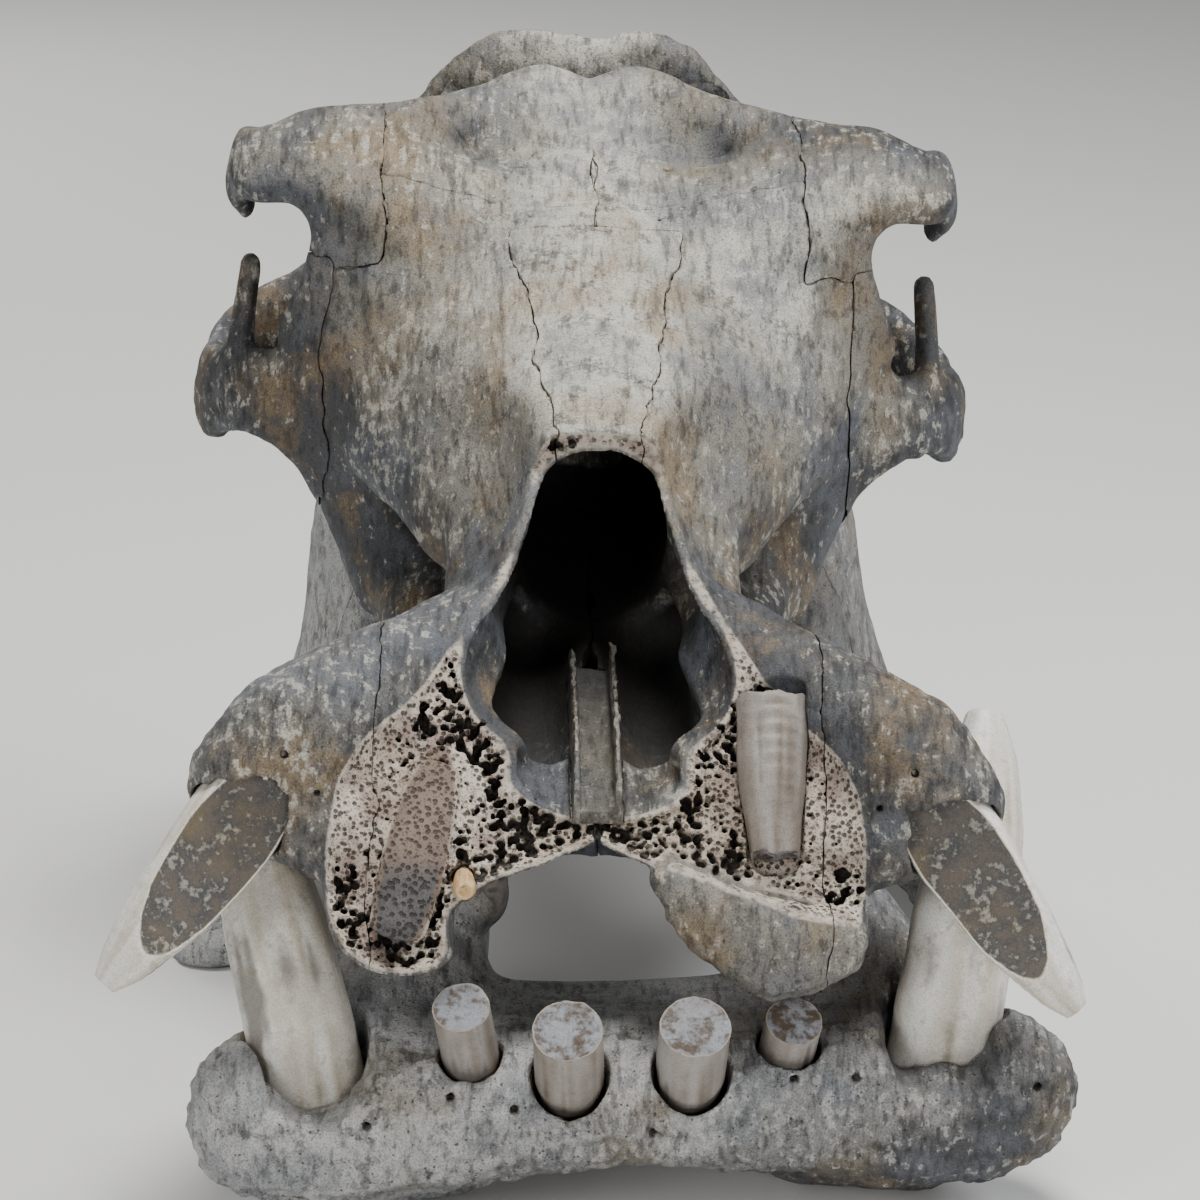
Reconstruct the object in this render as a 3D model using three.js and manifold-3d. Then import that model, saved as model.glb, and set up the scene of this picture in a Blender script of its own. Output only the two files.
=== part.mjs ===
// Fossil hippopotamus skull with its mandible, life size, resting on a table.
//
// Frame: millimetres, +Z up, the snout faces -Y, the animal's right side is at -X.
// Each bone is drawn as a field of blended blobs and limbs, symmetric about x = 0, with y running back
// from the chin and z up from the table. It is contoured, thinned to few faces, cut into its named bones
// and stood in its pose. Teeth are lofts in sockets cut to their shape.
import * as THREE from "three";
import { LoftGeometry } from "three/addons/geometries/LoftGeometry.js";
import { mergeVertices } from "three/addons/utils/BufferGeometryUtils.js";
import Module from "manifold-3d";

const wasm = await Module();
wasm.setup();

// ---- driving dimensions, mm and degrees ----
const CELL = 5; // contouring grid
const GAP = 0.35; // clearance between neighbouring solids
const FAR = 1e3; // field value away from everything

const MIDDLE = { x: -0.6, y: 322.5 }; // of the posed skull, set on the origin
const CRANIUM_POSE = { x: 3, y: 70, z: 300, yaw: 1.9, roll: 2.5 }; // it sits a little askew on the mandible
const MANDIBLE_POSE = { x: 16, y: 20, z: 0, yaw: 2.4, roll: -0.9 };
const CRANIUM_FACES = 5200;
const MANDIBLE_FACES = 2300;
const PART_SHARE = 0.5; // of the faces left after a bone is cut into its parts

// The oblique fracture across the snout: at a height h above its lowest point it lies at
// y + slope h + bend h h, but no further back than reach.
const FRACTURE = { y: 22, z: 134, slope: 0.55, bend: 0.0022, half: 136, reach: 214 };

// ---- shapes a bone is drawn with ----

// An ellipsoid. turn is its rotation about x, y and z in degrees.
function blob(at, radii, turn = [0, 0, 0]) {
  const euler = new THREE.Euler(...turn.map(THREE.MathUtils.degToRad));
  const m = new THREE.Matrix4().makeRotationFromEuler(euler).elements;
  const reach = Math.max(...radii);
  return {
    low: at.map((v) => v - reach),
    high: at.map((v) => v + reach),
    distance(x, y, z) {
      const dx = x - at[0];
      const dy = y - at[1];
      const dz = z - at[2];
      const u = (m[0] * dx + m[1] * dy + m[2] * dz) / radii[0];
      const v = (m[4] * dx + m[5] * dy + m[6] * dz) / radii[1];
      const w = (m[8] * dx + m[9] * dy + m[10] * dz) / radii[2];
      const near = Math.sqrt(u * u + v * v + w * w);
      const slope = Math.sqrt((u / radii[0]) ** 2 + (v / radii[1]) ** 2 + (w / radii[2]) ** 2);
      return slope < 1e-9 ? -Math.min(...radii) : (near * (near - 1)) / slope;
    },
  };
}

// A tapering limb or plate along a smooth path. A station is [x, y, z, half width, half thickness], flat is
// the direction of its thickness, once or for each station, and square above 2 gives it fuller edges.
function limb(stations, flat = [1, 0, 0], square = 2, steps = 4) {
  const flats = Array.isArray(flat[0]) ? flat : stations.map(() => flat);
  const path = new THREE.CatmullRomCurve3(stations.map((s) => new THREE.Vector3(s[0], s[1], s[2])));
  const spans = stations.length - 1;
  const links = [];
  for (let i = 0; i <= spans * steps; i++) {
    const span = Math.min(Math.floor(i / steps), spans - 1);
    const t = i / steps - span;
    const [from, to] = [stations[span], stations[span + 1]];
    const normal = flats[span].map((v, k) => v + (flats[span + 1][k] - v) * t);
    links.push({
      at: path.getPoint(i / (spans * steps)).toArray(),
      normal: new THREE.Vector3(...normal).normalize().toArray(),
      wide: from[3] + (to[3] - from[3]) * t,
      thick: (from[4] ?? from[3]) + ((to[4] ?? to[3]) - (from[4] ?? from[3])) * t,
    });
  }
  const reach = Math.max(...links.map((l) => Math.max(l.wide, l.thick)));
  return {
    low: [0, 1, 2].map((k) => Math.min(...links.map((l) => l.at[k])) - reach),
    high: [0, 1, 2].map((k) => Math.max(...links.map((l) => l.at[k])) + reach),
    distance(x, y, z) {
      let nearest = FAR;
      for (let i = 0; i < links.length - 1; i++) {
        const a = links[i];
        const b = links[i + 1];
        const bx = b.at[0] - a.at[0];
        const by = b.at[1] - a.at[1];
        const bz = b.at[2] - a.at[2];
        const length = Math.sqrt(bx * bx + by * by + bz * bz);
        let ox = x - a.at[0];
        let oy = y - a.at[1];
        let oz = z - a.at[2];
        const along = (ox * bx + oy * by + oz * bz) / length;
        const t = Math.min(1, Math.max(0, along / length));
        const over = along - t * length;
        ox -= t * bx;
        oy -= t * by;
        oz -= t * bz;
        const nx = a.normal[0] + t * (b.normal[0] - a.normal[0]);
        const ny = a.normal[1] + t * (b.normal[1] - a.normal[1]);
        const nz = a.normal[2] + t * (b.normal[2] - a.normal[2]);
        const wide = a.wide + t * (b.wide - a.wide);
        const thick = a.thick + t * (b.thick - a.thick);
        const thin = Math.min(wide, thick);
        const across = ox * nx + oy * ny + oz * nz;
        const side = Math.sqrt(Math.max(0, ox * ox + oy * oy + oz * oz - across * across - over * over));
        const u = side / wide;
        const v = Math.abs(across) / thick;
        const w = Math.abs(over) / thin;
        const q = square === 2 ? Math.sqrt(u * u + v * v + w * w)
          : Math.pow(u ** square + v ** square + w ** square, 1 / square);
        nearest = Math.min(nearest, (q - 1) * thin);
      }
      return nearest;
    },
  };
}

// All that lies in front of the fracture, out to its half width.
const aheadOfFracture = {
  low: [0, -60, FRACTURE.z - 60],
  high: [FRACTURE.half, 300, 420],
  distance(x, y, z) {
    const h = Math.max(0, z - FRACTURE.z);
    const edge = FRACTURE.y + FRACTURE.slope * h + FRACTURE.bend * h * h;
    const steep = FRACTURE.slope + 2 * FRACTURE.bend * h;
    const face = Math.max((y - edge) / Math.sqrt(1 + steep * steep), y - FRACTURE.reach);
    return Math.max(face, x - FRACTURE.half);
  },
};

// ---- the field ----

// Smooth minimum of two distances, which rounds their meeting.
function smoothMin(a, b, blend) {
  const h = Math.max(blend - Math.abs(a - b), 0);
  return Math.min(a, b) - (h * h) / (4 * blend);
}

// A distance sampled on a grid over x >= 0. mirrored() gives the whole bone.
class BoneField {
  constructor(low, high, cell = CELL) {
    this.low = low;
    this.cell = cell;
    this.count = low.map((v, k) => Math.ceil((high[k] - v) / cell) + 1);
    this.value = new Float32Array(this.count[0] * this.count[1] * this.count[2]).fill(FAR);
  }

  visit(shape, margin, change) {
    const cell = this.cell;
    const from = shape.low.map((v, k) => Math.max(0, Math.floor((v - margin - this.low[k]) / cell)));
    const last = shape.high.map((v, k) => Math.ceil((v + margin - this.low[k]) / cell));
    const to = last.map((v, k) => Math.min(this.count[k] - 1, v));
    for (let i = from[0]; i <= to[0]; i++) {
      for (let j = from[1]; j <= to[1]; j++) {
        const row = (i * this.count[1] + j) * this.count[2];
        for (let k = from[2]; k <= to[2]; k++) {
          const d = shape.distance(this.low[0] + i * cell, this.low[1] + j * cell, this.low[2] + k * cell);
          this.value[row + k] = change(this.value[row + k], d);
        }
      }
    }
    return this;
  }

  add(shape, blend = 12) {
    return this.visit(shape, blend + 2 * this.cell, (old, d) => smoothMin(old, d, blend));
  }

  cut(shape, blend = 5) {
    return this.visit(shape, blend + 2 * this.cell, (old, d) => -smoothMin(-old, d, blend));
  }

  mirrored() {
    const [nx, ny, nz] = this.count;
    const full = new BoneField(this.low, this.low, this.cell);
    full.low = [-(nx - 1) * this.cell, this.low[1], this.low[2]];
    full.count = [2 * nx - 1, ny, nz];
    full.value = new Float32Array(full.count[0] * ny * nz);
    for (let i = 0; i < full.count[0]; i++) {
      const from = Math.abs(i - (nx - 1)) * ny * nz;
      full.value.set(this.value.subarray(from, from + ny * nz), i * ny * nz);
    }
    return full;
  }
}

// ---- contouring by tetrahedra, which leaves every edge with just two faces ----
const CORNERS = [0, 1, 2, 3, 4, 5, 6, 7].map((c) => [c & 1, (c >> 1) & 1, (c >> 2) & 1]);
const TETRAHEDRA = [[0, 1, 3, 7], [0, 3, 2, 7], [0, 2, 6, 7], [0, 6, 4, 7], [0, 4, 5, 7], [0, 5, 1, 7]];

function contour(field) {
  const { count, low, cell, value } = field;
  const [nx, ny, nz] = count;
  const stride = [ny * nz, nz, 1];
  const offsets = CORNERS.map((c) => c[0] * stride[0] + c[1] * stride[1] + c[2]);
  const points = [];
  const faces = [];
  const seen = new Map();
  const total = nx * ny * nz;
  const place = (index) => {
    const i = Math.floor(index / stride[0]);
    const j = Math.floor((index - i * stride[0]) / nz);
    return [low[0] + i * cell, low[1] + j * cell, low[2] + (index - i * stride[0] - j * nz) * cell];
  };
  const crossing = (a, b) => {
    const key = a < b ? a * total + b : b * total + a;
    if (!seen.has(key)) {
      const t = Math.min(0.95, Math.max(0.05, value[a] / (value[a] - value[b])));
      const [p, q] = [place(a), place(b)];
      seen.set(key, points.length / 3);
      points.push(p[0] + t * (q[0] - p[0]), p[1] + t * (q[1] - p[1]), p[2] + t * (q[2] - p[2]));
    }
    return seen.get(key);
  };
  for (let i = 0; i < nx - 1; i++) {
    for (let j = 0; j < ny - 1; j++) {
      for (let k = 0; k < nz - 1; k++) {
        const base = i * stride[0] + j * stride[1] + k;
        let inside = 0;
        for (const offset of offsets) inside += value[base + offset] < 0 ? 1 : 0;
        if (inside === 0 || inside === 8) continue;
        for (const corners of TETRAHEDRA) {
          const at = corners.map((c) => base + offsets[c]);
          const low4 = at.filter((n) => value[n] < 0);
          const high4 = at.filter((n) => value[n] >= 0);
          if (low4.length === 0 || high4.length === 0) continue;
          const ring = low4.length === 2
            ? [[low4[0], high4[0]], [low4[0], high4[1]], [low4[1], high4[1]], [low4[1], high4[0]]]
            : low4.length === 1 ? high4.map((h) => [low4[0], h]) : low4.map((l) => [l, high4[0]]);
          const loop = ring.map(([a, b]) => crossing(a, b));
          const corner = (n) => new THREE.Vector3(points[3 * n], points[3 * n + 1], points[3 * n + 2]);
          const [p, q, r] = loop.slice(0, 3).map(corner);
          const outward = new THREE.Vector3(...place(high4[0])).sub(new THREE.Vector3(...place(low4[0])));
          if (q.sub(p).cross(r.sub(p)).dot(outward) < 0) loop.reverse();
          for (let n = 1; n < loop.length - 1; n++) faces.push(loop[0], loop[n], loop[n + 1]);
        }
      }
    }
  }
  return { points, faces };
}

// ---- thinning: edges are collapsed in the order of the error they cause ----

// A heap of [cost, ...] entries, least first.
class Heap {
  constructor() {
    this.items = [];
  }

  push(item) {
    const a = this.items;
    let i = a.push(item) - 1;
    while (i > 0 && a[(i - 1) >> 1][0] > item[0]) {
      a[i] = a[(i - 1) >> 1];
      i = (i - 1) >> 1;
    }
    a[i] = item;
  }

  pop() {
    const a = this.items;
    const top = a[0];
    const last = a.pop();
    if (a.length > 0) {
      let i = 0;
      for (;;) {
        let child = 2 * i + 1;
        if (child >= a.length) break;
        if (child + 1 < a.length && a[child + 1][0] < a[child][0]) child++;
        if (a[child][0] >= last[0]) break;
        a[i] = a[child];
        i = child;
      }
      a[i] = last;
    }
    return top;
  }
}

// Ten numbers of the squared distance to the plane of a face, weighted by its area.
function planeError(p, q, r) {
  const n = new THREE.Vector3().subVectors(q, p).cross(new THREE.Vector3().subVectors(r, p));
  const area = n.length();
  n.normalize();
  const d = -n.dot(p);
  const v = [n.x, n.y, n.z, d];
  const terms = [];
  for (let i = 0; i < 4; i++) for (let j = i; j < 4; j++) terms.push(v[i] * v[j] * area);
  return terms;
}

// The point of least error, and that error.
function bestPoint(e, middle) {
  const m = new THREE.Matrix3().set(e[0], e[1], e[2], e[1], e[4], e[5], e[2], e[5], e[7]);
  const size = e[0] + e[4] + e[7];
  const point = middle.clone();
  if (Math.abs(m.determinant()) > 1e-4 * size ** 3) {
    const solved = new THREE.Vector3(-e[3], -e[6], -e[8]).applyMatrix3(m.invert());
    if (solved.distanceTo(middle) < 4 * CELL) point.copy(solved);
  }
  const { x, y, z } = point;
  const error = e[0] * x * x + e[4] * y * y + e[7] * z * z + e[9]
    + 2 * (e[1] * x * y + e[2] * x * z + e[5] * y * z + e[3] * x + e[6] * y + e[8] * z);
  return [Math.max(error, 0) + 1e-3 * middle.distanceToSquared(point), point];
}

function thin(mesh, target) {
  const count = mesh.points.length / 3;
  const at = Array.from({ length: count }, (_, i) => new THREE.Vector3().fromArray(mesh.points, 3 * i));
  const faces = [];
  for (let i = 0; i < mesh.faces.length; i += 3) faces.push([...mesh.faces.slice(i, i + 3)]);
  const around = at.map(() => new Set());
  const error = at.map(() => new Array(10).fill(0));
  faces.forEach((f, n) => {
    const terms = planeError(at[f[0]], at[f[1]], at[f[2]]);
    for (const v of f) {
      around[v].add(n);
      terms.forEach((t, i) => (error[v][i] += t));
    }
  });
  const version = new Int32Array(count);
  const neighbours = (v) => {
    const ring = new Set();
    for (const n of around[v]) for (const w of faces[n]) if (w !== v) ring.add(w);
    return ring;
  };
  const heap = new Heap();
  const offer = (a, b) => {
    const sum = error[a].map((t, i) => t + error[b][i]);
    const middle = at[a].clone().add(at[b]).multiplyScalar(0.5);
    const [cost, point] = bestPoint(sum, middle);
    heap.push([cost + 0.02 * at[a].distanceToSquared(at[b]), a, b, version[a], version[b], point]);
  };
  for (let v = 0; v < count; v++) for (const w of neighbours(v)) if (v < w) offer(v, w);
  const folds = (moving, other, point) => {
    for (const n of around[moving]) {
      const f = faces[n];
      if (f.includes(other)) continue;
      const before = f.map((v) => at[v]);
      const after = f.map((v) => (v === moving ? point : at[v]));
      const [was, now] = [before, after].map(([p, q, r]) =>
        new THREE.Vector3().subVectors(q, p).cross(new THREE.Vector3().subVectors(r, p)));
      if (now.length() < 0.05 || was.normalize().dot(now.normalize()) < 0.3) return true;
    }
    return false;
  };
  let left = faces.length;
  while (left > target && heap.items.length > 0) {
    const [, a, b, va, vb, point] = heap.pop();
    if (va !== version[a] || vb !== version[b]) continue;
    const ringB = neighbours(b);
    const shared = [...neighbours(a)].filter((v) => ringB.has(v));
    if (shared.length !== 2 || folds(a, b, point) || folds(b, a, point)) continue;
    for (const n of [...around[b]]) {
      const f = faces[n];
      if (f.includes(a)) {
        for (const v of f) around[v].delete(n);
        faces[n] = null;
        left--;
      } else {
        f[f.indexOf(b)] = a;
        around[a].add(n);
      }
    }
    around[b].clear();
    at[a].copy(point);
    error[a] = error[a].map((t, i) => t + error[b][i]);
    version[b] = -1;
    version[a]++;
    for (const v of neighbours(a)) offer(a, v);
  }
  const used = new Map();
  const points = [];
  const kept = [];
  for (const f of faces.filter((face) => face !== null)) {
    for (const v of f) {
      if (!used.has(v)) {
        used.set(v, points.length / 3);
        points.push(...at[v].toArray());
      }
      kept.push(used.get(v));
    }
  }
  return { points, faces: kept };
}

// ---- the cranium ----
const UP = [0, 0, 1];
const SIDE = [1, 0, 0];
const BACK = [0, 1, 0];
const ROOF = [0, -0.34, 0.94]; // across the rising line of the forehead
const CHEEK_TEETH = 6;

function drawCranium() {
  const field = new BoneField([0, -10, 90], [235, 690, 505]);
  // Snout and face, a tube that widens towards its front and its back.
  field.add(limb([
    [0, 50, 206, 104, 48], [0, 125, 232, 92, 58], [0, 200, 266, 76, 66], [0, 270, 292, 74, 72],
    [0, 340, 306, 80, 78], [0, 410, 326, 82, 82],
  ], UP, 2.6));
  // Roof from the nasal bones to the crown.
  field.add(limb([
    [0, 226, 320, 34, 20], [0, 300, 348, 48, 22], [0, 370, 374, 86, 24], [0, 430, 392, 100, 26],
    [0, 490, 412, 84, 26], [0, 552, 432, 62, 24],
  ], ROOF), 22);
  // Braincase, narrow behind the orbits, and the ridges above the hollows beside it.
  field.add(limb([[0, 420, 340, 72, 76], [0, 490, 356, 66, 78], [0, 548, 366, 80, 70]], UP, 2.3), 24);
  field.add(blob([84, 566, 350], [46, 34, 56]), 24);
  field.add(limb([
    [140, 452, 440, 16, 12], [104, 472, 446, 18, 13], [62, 512, 446, 20, 14], [22, 560, 450, 20, 14],
  ], [-0.3, 0, 0.95]), 18);
  // Cheek in front of the orbit, and the buttress from the arch down to the last molars.
  field.add(limb([
    [66, 290, 300, 36, 20], [98, 350, 322, 44, 22], [128, 398, 350, 40, 18],
  ], [0.7, -0.6, 0.3]), 26);
  field.add(limb([
    [150, 410, 304, 32, 15], [124, 392, 272, 30, 15], [101, 356, 228, 30, 15],
  ], [0.75, -0.65, 0]), 16);
  // Hump of the orbit with its roof and front rim.
  field.add(limb([
    [62, 424, 402, 42, 24], [110, 428, 424, 40, 22], [150, 432, 436, 36, 19], [178, 436, 431, 30, 15],
  ], [0.1, -0.3, 0.95]), 20);
  field.add(limb([
    [132, 402, 418, 16, 9], [137, 400, 385, 16, 9], [148, 408, 345, 20, 12],
  ], [0.5, -0.8, 0]), 12);
  // Zygomatic arch.
  field.add(limb([
    [128, 398, 306, 30, 16], [172, 418, 306, 26, 16], [199, 452, 300, 25, 11], [201, 500, 294, 25, 10],
    [192, 545, 300, 24, 11], [160, 574, 312, 26, 14], [116, 584, 322, 30, 18],
  ], [
    [0.3, -0.9, 0.2], [0.5, -0.8, 0.2], [1, -0.2, 0], SIDE, [1, 0.3, 0], [0.6, 0.8, 0], [0.2, 1, 0],
  ], 2.4), 14);
  field.add(limb([[112, 560, 300, 30, 18], [150, 560, 302, 26, 14]], UP), 14);
  field.cut(blob([178, 422, 266], [36, 30, 22], [0, 15, 0]), 8);
  // Orbit, open behind into the hollow that the jaw's muscles fill.
  field.cut(blob([182, 446, 382], [60, 36, 36], [0, 12, -10]), 8);
  field.cut(blob([136, 502, 350], [44, 46, 72]), 10);
  // The process behind the orbit hangs down and the spike of the arch rises; the bar between them is lost.
  field.add(limb([[186, 440, 432, 24, 9], [191, 449, 418, 17, 7], [186, 455, 404, 9, 5]], SIDE), 5);
  field.add(limb([[188, 436, 312, 16, 8], [186, 446, 346, 11, 6], [183, 452, 373, 6, 5]], SIDE), 5);
  // Crest of the nape, standing up behind the roof in two arcs with a dip between them.
  field.add(limb([
    [0, 602, 446, 26, 11], [34, 602, 453, 26, 11], [60, 602, 434, 28, 11], [86, 598, 394, 30, 11],
    [112, 594, 356, 30, 12], [120, 590, 312, 28, 13],
  ], [BACK, BACK, [0.2, 1, 0.1], [0.4, 1, 0], [0.5, 1, 0], [0.5, 1, 0]]), 12);
  field.cut(limb([[0, 577, 478, 12, 12], [40, 576, 474, 12, 12], [70, 574, 452, 10, 10]], UP), 6);
  // Back of the skull with the condyles, the processes beside them and the great foramen.
  field.add(limb([[0, 606, 400, 70, 18], [0, 612, 320, 86, 24]], BACK), 16);
  field.add(blob([36, 634, 296], [27, 24, 30]), 10);
  field.cut(blob([0, 646, 322], [19, 40, 21]), 6);
  field.add(limb([[104, 600, 300, 22, 12], [98, 602, 258, 12, 8]], BACK), 10);
  // Base of the skull: its keel, the ear bulbs and the two blades behind the palate.
  field.add(limb([[0, 420, 268, 52, 26], [0, 520, 276, 44, 26], [0, 600, 292, 42, 22]], UP), 16);
  field.add(blob([58, 560, 266], [20, 30, 20]), 8);
  field.add(limb([[52, 410, 244, 26, 9], [46, 462, 234, 32, 8], [44, 500, 262, 24, 8]], SIDE), 10);
  // Palate, the ridge that carries the cheek teeth and their crowns.
  field.add(limb([
    [46, 60, 182, 36, 22], [44, 160, 194, 30, 22], [56, 280, 214, 40, 24], [60, 380, 230, 46, 24],
  ], UP), 16);
  field.add(limb([
    [62, 130, 190, 26, 20], [70, 220, 200, 26, 22], [80, 320, 214, 28, 24], [84, 384, 230, 28, 24],
  ], SIDE), 14);
  for (let n = 0; n < CHEEK_TEETH; n++) {
    const y = 150 + 46 * n;
    field.add(blob([64 + 4 * n, y, 176 + 8.6 * n], [15 + 1.2 * n, 19 + 0.8 * n, 20]), 5);
  }
  // Front of the snout, thick round the roots of the front teeth.
  field.add(limb([[92, 40, 170, 38, 36], [92, 96, 206, 38, 44], [84, 150, 226, 26, 44]], SIDE, 2.2), 14);
  // Nasal passage: wide and open above in front, with a keeled floor, narrow and round behind.
  field.cut(limb([
    [0, -20, 262, 62, 50], [0, 60, 266, 68, 54], [0, 140, 280, 64, 54], [0, 220, 290, 54, 52],
    [0, 330, 298, 46, 46], [0, 400, 290, 40, 36],
  ], UP, 3), 6);
  field.cut(limb([[50, 60, 262, 29, 25], [56, 140, 275, 24, 27], [37, 214, 302, 19, 22]], UP), 8);
  field.cut(limb([[0, 20, 212, 34, 12], [0, 96, 218, 40, 14]], UP), 8);
  field.cut(limb([[30, 130, 222, 24, 22], [30, 230, 244, 22, 22]], UP), 8);
  field.cut(limb([[0, 432, 212, 30, 12], [0, 490, 218, 30, 16]], UP), 6);
  // Gap below the two halves of the snout, peaked in the middle.
  field.cut(limb([[27, -10, 151, 43, 28], [27, 80, 151, 36, 28]], [0.3, 0, 0.95], 4), 6);
  field.cut(limb([[2, -10, 176, 24, 16], [2, 80, 172, 20, 14]], [0.54, 0, 0.84], 4), 5);
  field.cut(aheadOfFracture, 3);
  // Beds of the lost front teeth, laid open along the fracture.
  field.cut(limb([[90, 30, 166, 17, 9], [87, 76, 216, 18, 9], [84, 106, 248, 13, 7]], [0, 0.8, -0.6]), 5);
  // Boss of the upper canine, which the fracture left whole.
  field.add(limb([
    [80, 178, 240, 42, 28], [112, 138, 234, 40, 32], [146, 98, 224, 38, 36], [164, 82, 208, 32, 33],
  ], [0.6, 0.3, 0.6]), 16);
  field.add(limb([[104, 104, 198, 32, 20], [138, 76, 190, 24, 22]], UP), 14);
  const whole = field.mirrored();
  // The left half of the snout keeps more bone below.
  whole.add(limb([[70, 54, 152, 20, 20], [86, 50, 144, 26, 22], [102, 56, 152, 20, 20]], UP), 10);
  return whole;
}

// ---- the mandible ----

function drawMandible() {
  const field = new BoneField([0, -15, -20], [250, 640, 340]);
  // Bar of the chin with its rough ends, and the shelf behind the front teeth.
  field.add(limb([
    [0, 76, 62, 66, 35], [70, 74, 57, 62, 37], [130, 68, 53, 54, 40], [166, 60, 54, 44, 38],
    [179, 54, 54, 30, 32],
  ], [0, 0.2, 1], 2.6));
  field.add(limb([[92, 96, 22, 40, 22], [142, 82, 24, 32, 22]], UP), 16);
  field.add(limb([[0, 130, 58, 40, 28], [80, 136, 60, 40, 30]], UP), 16);
  field.add(limb([[150, 60, 66, 48, 34], [124, 140, 70, 48, 36], [104, 220, 82, 36, 40]], UP), 20);
  // Worn mouths of the canine sockets.
  field.cut(limb([[151, 16, 98, 27, 29], [152, 72, 90, 27, 28]], UP), 8);
  // Body of the jaw with its tooth row.
  field.add(limb([
    [112, 140, 70, 44, 40], [98, 220, 92, 56, 28], [98, 300, 104, 62, 25], [108, 390, 112, 72, 25],
    [122, 450, 120, 80, 20],
  ], SIDE, 2.3), 20);
  field.add(limb([
    [72, 176, 122, 18, 18], [76, 260, 136, 20, 22], [86, 350, 150, 22, 24], [92, 396, 158, 20, 22],
  ], SIDE), 14);
  for (let n = 0; n < CHEEK_TEETH; n++) {
    const y = 168 + 44 * n;
    field.add(blob([68 + 5 * n, y, 127 + 8.4 * n], [14 + n, 18 + 0.8 * n, 18]), 5);
  }
  // Ramus, broad from front to back, with the spur in front and the condyle behind.
  field.add(limb([
    [130, 514, 250, 46, 11], [134, 508, 200, 60, 13], [142, 502, 150, 72, 14], [160, 492, 100, 86, 14],
    [184, 470, 58, 86, 13], [200, 450, 28, 68, 12],
  ], [
    [0.95, -0.3, 0], [0.95, -0.3, 0], [0.95, -0.2, 0.1], [0.9, -0.1, 0.35], [0.8, 0, 0.6], [0.7, 0, 0.7],
  ], 2.2, 8), 16);
  field.add(limb([
    [102, 424, 190, 26, 12], [104, 440, 240, 20, 9], [114, 464, 300, 11, 6],
  ], [0.95, -0.3, 0]), 12);
  field.add(blob([138, 562, 256], [36, 15, 14], [0, -8, 8]), 10);
  // Angle of the jaw, hooked forwards to rest on the table.
  field.add(limb([
    [203, 446, 14, 44, 14], [210, 406, 10, 34, 16], [211, 386, 13, 20, 12],
  ], [0.4, 0, 0.9]), 12);
  const whole = field.mirrored();
  // The left end of the chin is less worn, and its socket has a higher lip.
  whole.add(blob([150, 40, 58], [26, 24, 21]), 8);
  whole.add(blob([190, 60, 60], [26, 32, 28]), 14);
  return whole;
}

// ---- teeth: lofts along a path, with stations like a limb's ----
const AROUND = 12;

const LOWER_CANINE = {
  stations: [
    [148, 100, 22, 19, 24], [151, 76, 56, 21, 26], [158, 74, 93, 22, 27], [168, 94, 136, 20, 26],
    [177, 120, 172, 18, 22], [182, 144, 196, 14, 17], [185, 164, 215, 8, 9],
  ],
  flat: SIDE,
};
const UPPER_CANINE = {
  stations: [[140, 110, 236, 20, 20], [156, 84, 216, 24, 23], [176, 62, 192, 25, 23], [200, 46, 162, 22, 19],
    [222, 36, 136, 15, 11], [232, 32, 124, 7, 5]],
  flat: [0.6, -0.5, 0.6],
};
const LOWER_INCISORS = [
  { stations: [[29, 58, 58, 12, 12], [29, 26, 88, 17, 17], [30, 2, 121, 17, 17]], flat: SIDE },
  { stations: [[74, 66, 66, 10, 10], [76, 42, 92, 14, 14], [80, 20, 127, 14, 14]], flat: SIDE },
];
const SHORT_INCISOR = {
  stations: [[74, 66, 64, 10, 10], [76, 46, 86, 14, 14], [79, 30, 110, 14, 14]],
  flat: SIDE,
};
const UPPER_INCISOR = {
  stations: [[86, 62, 186, 12, 9], [84, 82, 218, 16, 11], [84, 110, 250, 18, 11]],
  flat: BACK,
};
// Side view of a plate of the vomer, as y and z, and of the strip that joins the two.
const VOMER_PLATE = [[68, 198], [205, 224], [205, 246], [120, 234], [68, 216]];
const VOMER_STRIP = [[68, 198], [205, 224], [205, 231], [68, 205]];
const VOMER = { half: 12, wall: 4 };
const PEG_TOOTH = { stations: [[63, 66, 172, 4, 4], [63, 34, 177, 6, 6]], flat: SIDE };

// A closed three.js geometry as a solid.
function solidOf(geometry) {
  const bare = new THREE.BufferGeometry();
  bare.setAttribute("position", geometry.attributes.position);
  bare.setIndex(geometry.index);
  const merged = mergeVertices(bare, 1e-4);
  return closedSolid(merged.attributes.position.array, merged.index.array);
}

// A tooth, or with grow its socket.
function tooth({ stations, flat }, grow = 0) {
  const steps = stations.length > 3 ? 2 : 1;
  const path = new THREE.CatmullRomCurve3(stations.map((s) => new THREE.Vector3(s[0], s[1], s[2])));
  const spans = stations.length - 1;
  const sections = [];
  for (let i = 0; i <= spans * steps; i++) {
    const span = Math.min(Math.floor(i / steps), spans - 1);
    const t = i / steps - span;
    const [from, to] = [stations[span], stations[span + 1]];
    const along = path.getTangent(i / (spans * steps));
    const normal = new THREE.Vector3(...flat);
    normal.addScaledVector(along, -along.dot(normal)).normalize();
    const across = normal.clone().cross(along);
    const at = path.getPoint(i / (spans * steps));
    if (i === 0) at.addScaledVector(along, -grow);
    if (i === spans * steps) at.addScaledVector(along, grow);
    const wide = from[3] + (to[3] - from[3]) * t + grow;
    const thick = from[4] + (to[4] - from[4]) * t + grow;
    sections.push(Array.from({ length: AROUND }, (_, n) => {
      const angle = (n / AROUND) * 2 * Math.PI;
      const rim = at.clone().addScaledVector(across, wide * Math.cos(angle));
      return rim.addScaledVector(normal, thick * Math.sin(angle));
    }));
  }
  return solidOf(new LoftGeometry(sections, { closed: true, capStart: true, capEnd: true }));
}

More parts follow.
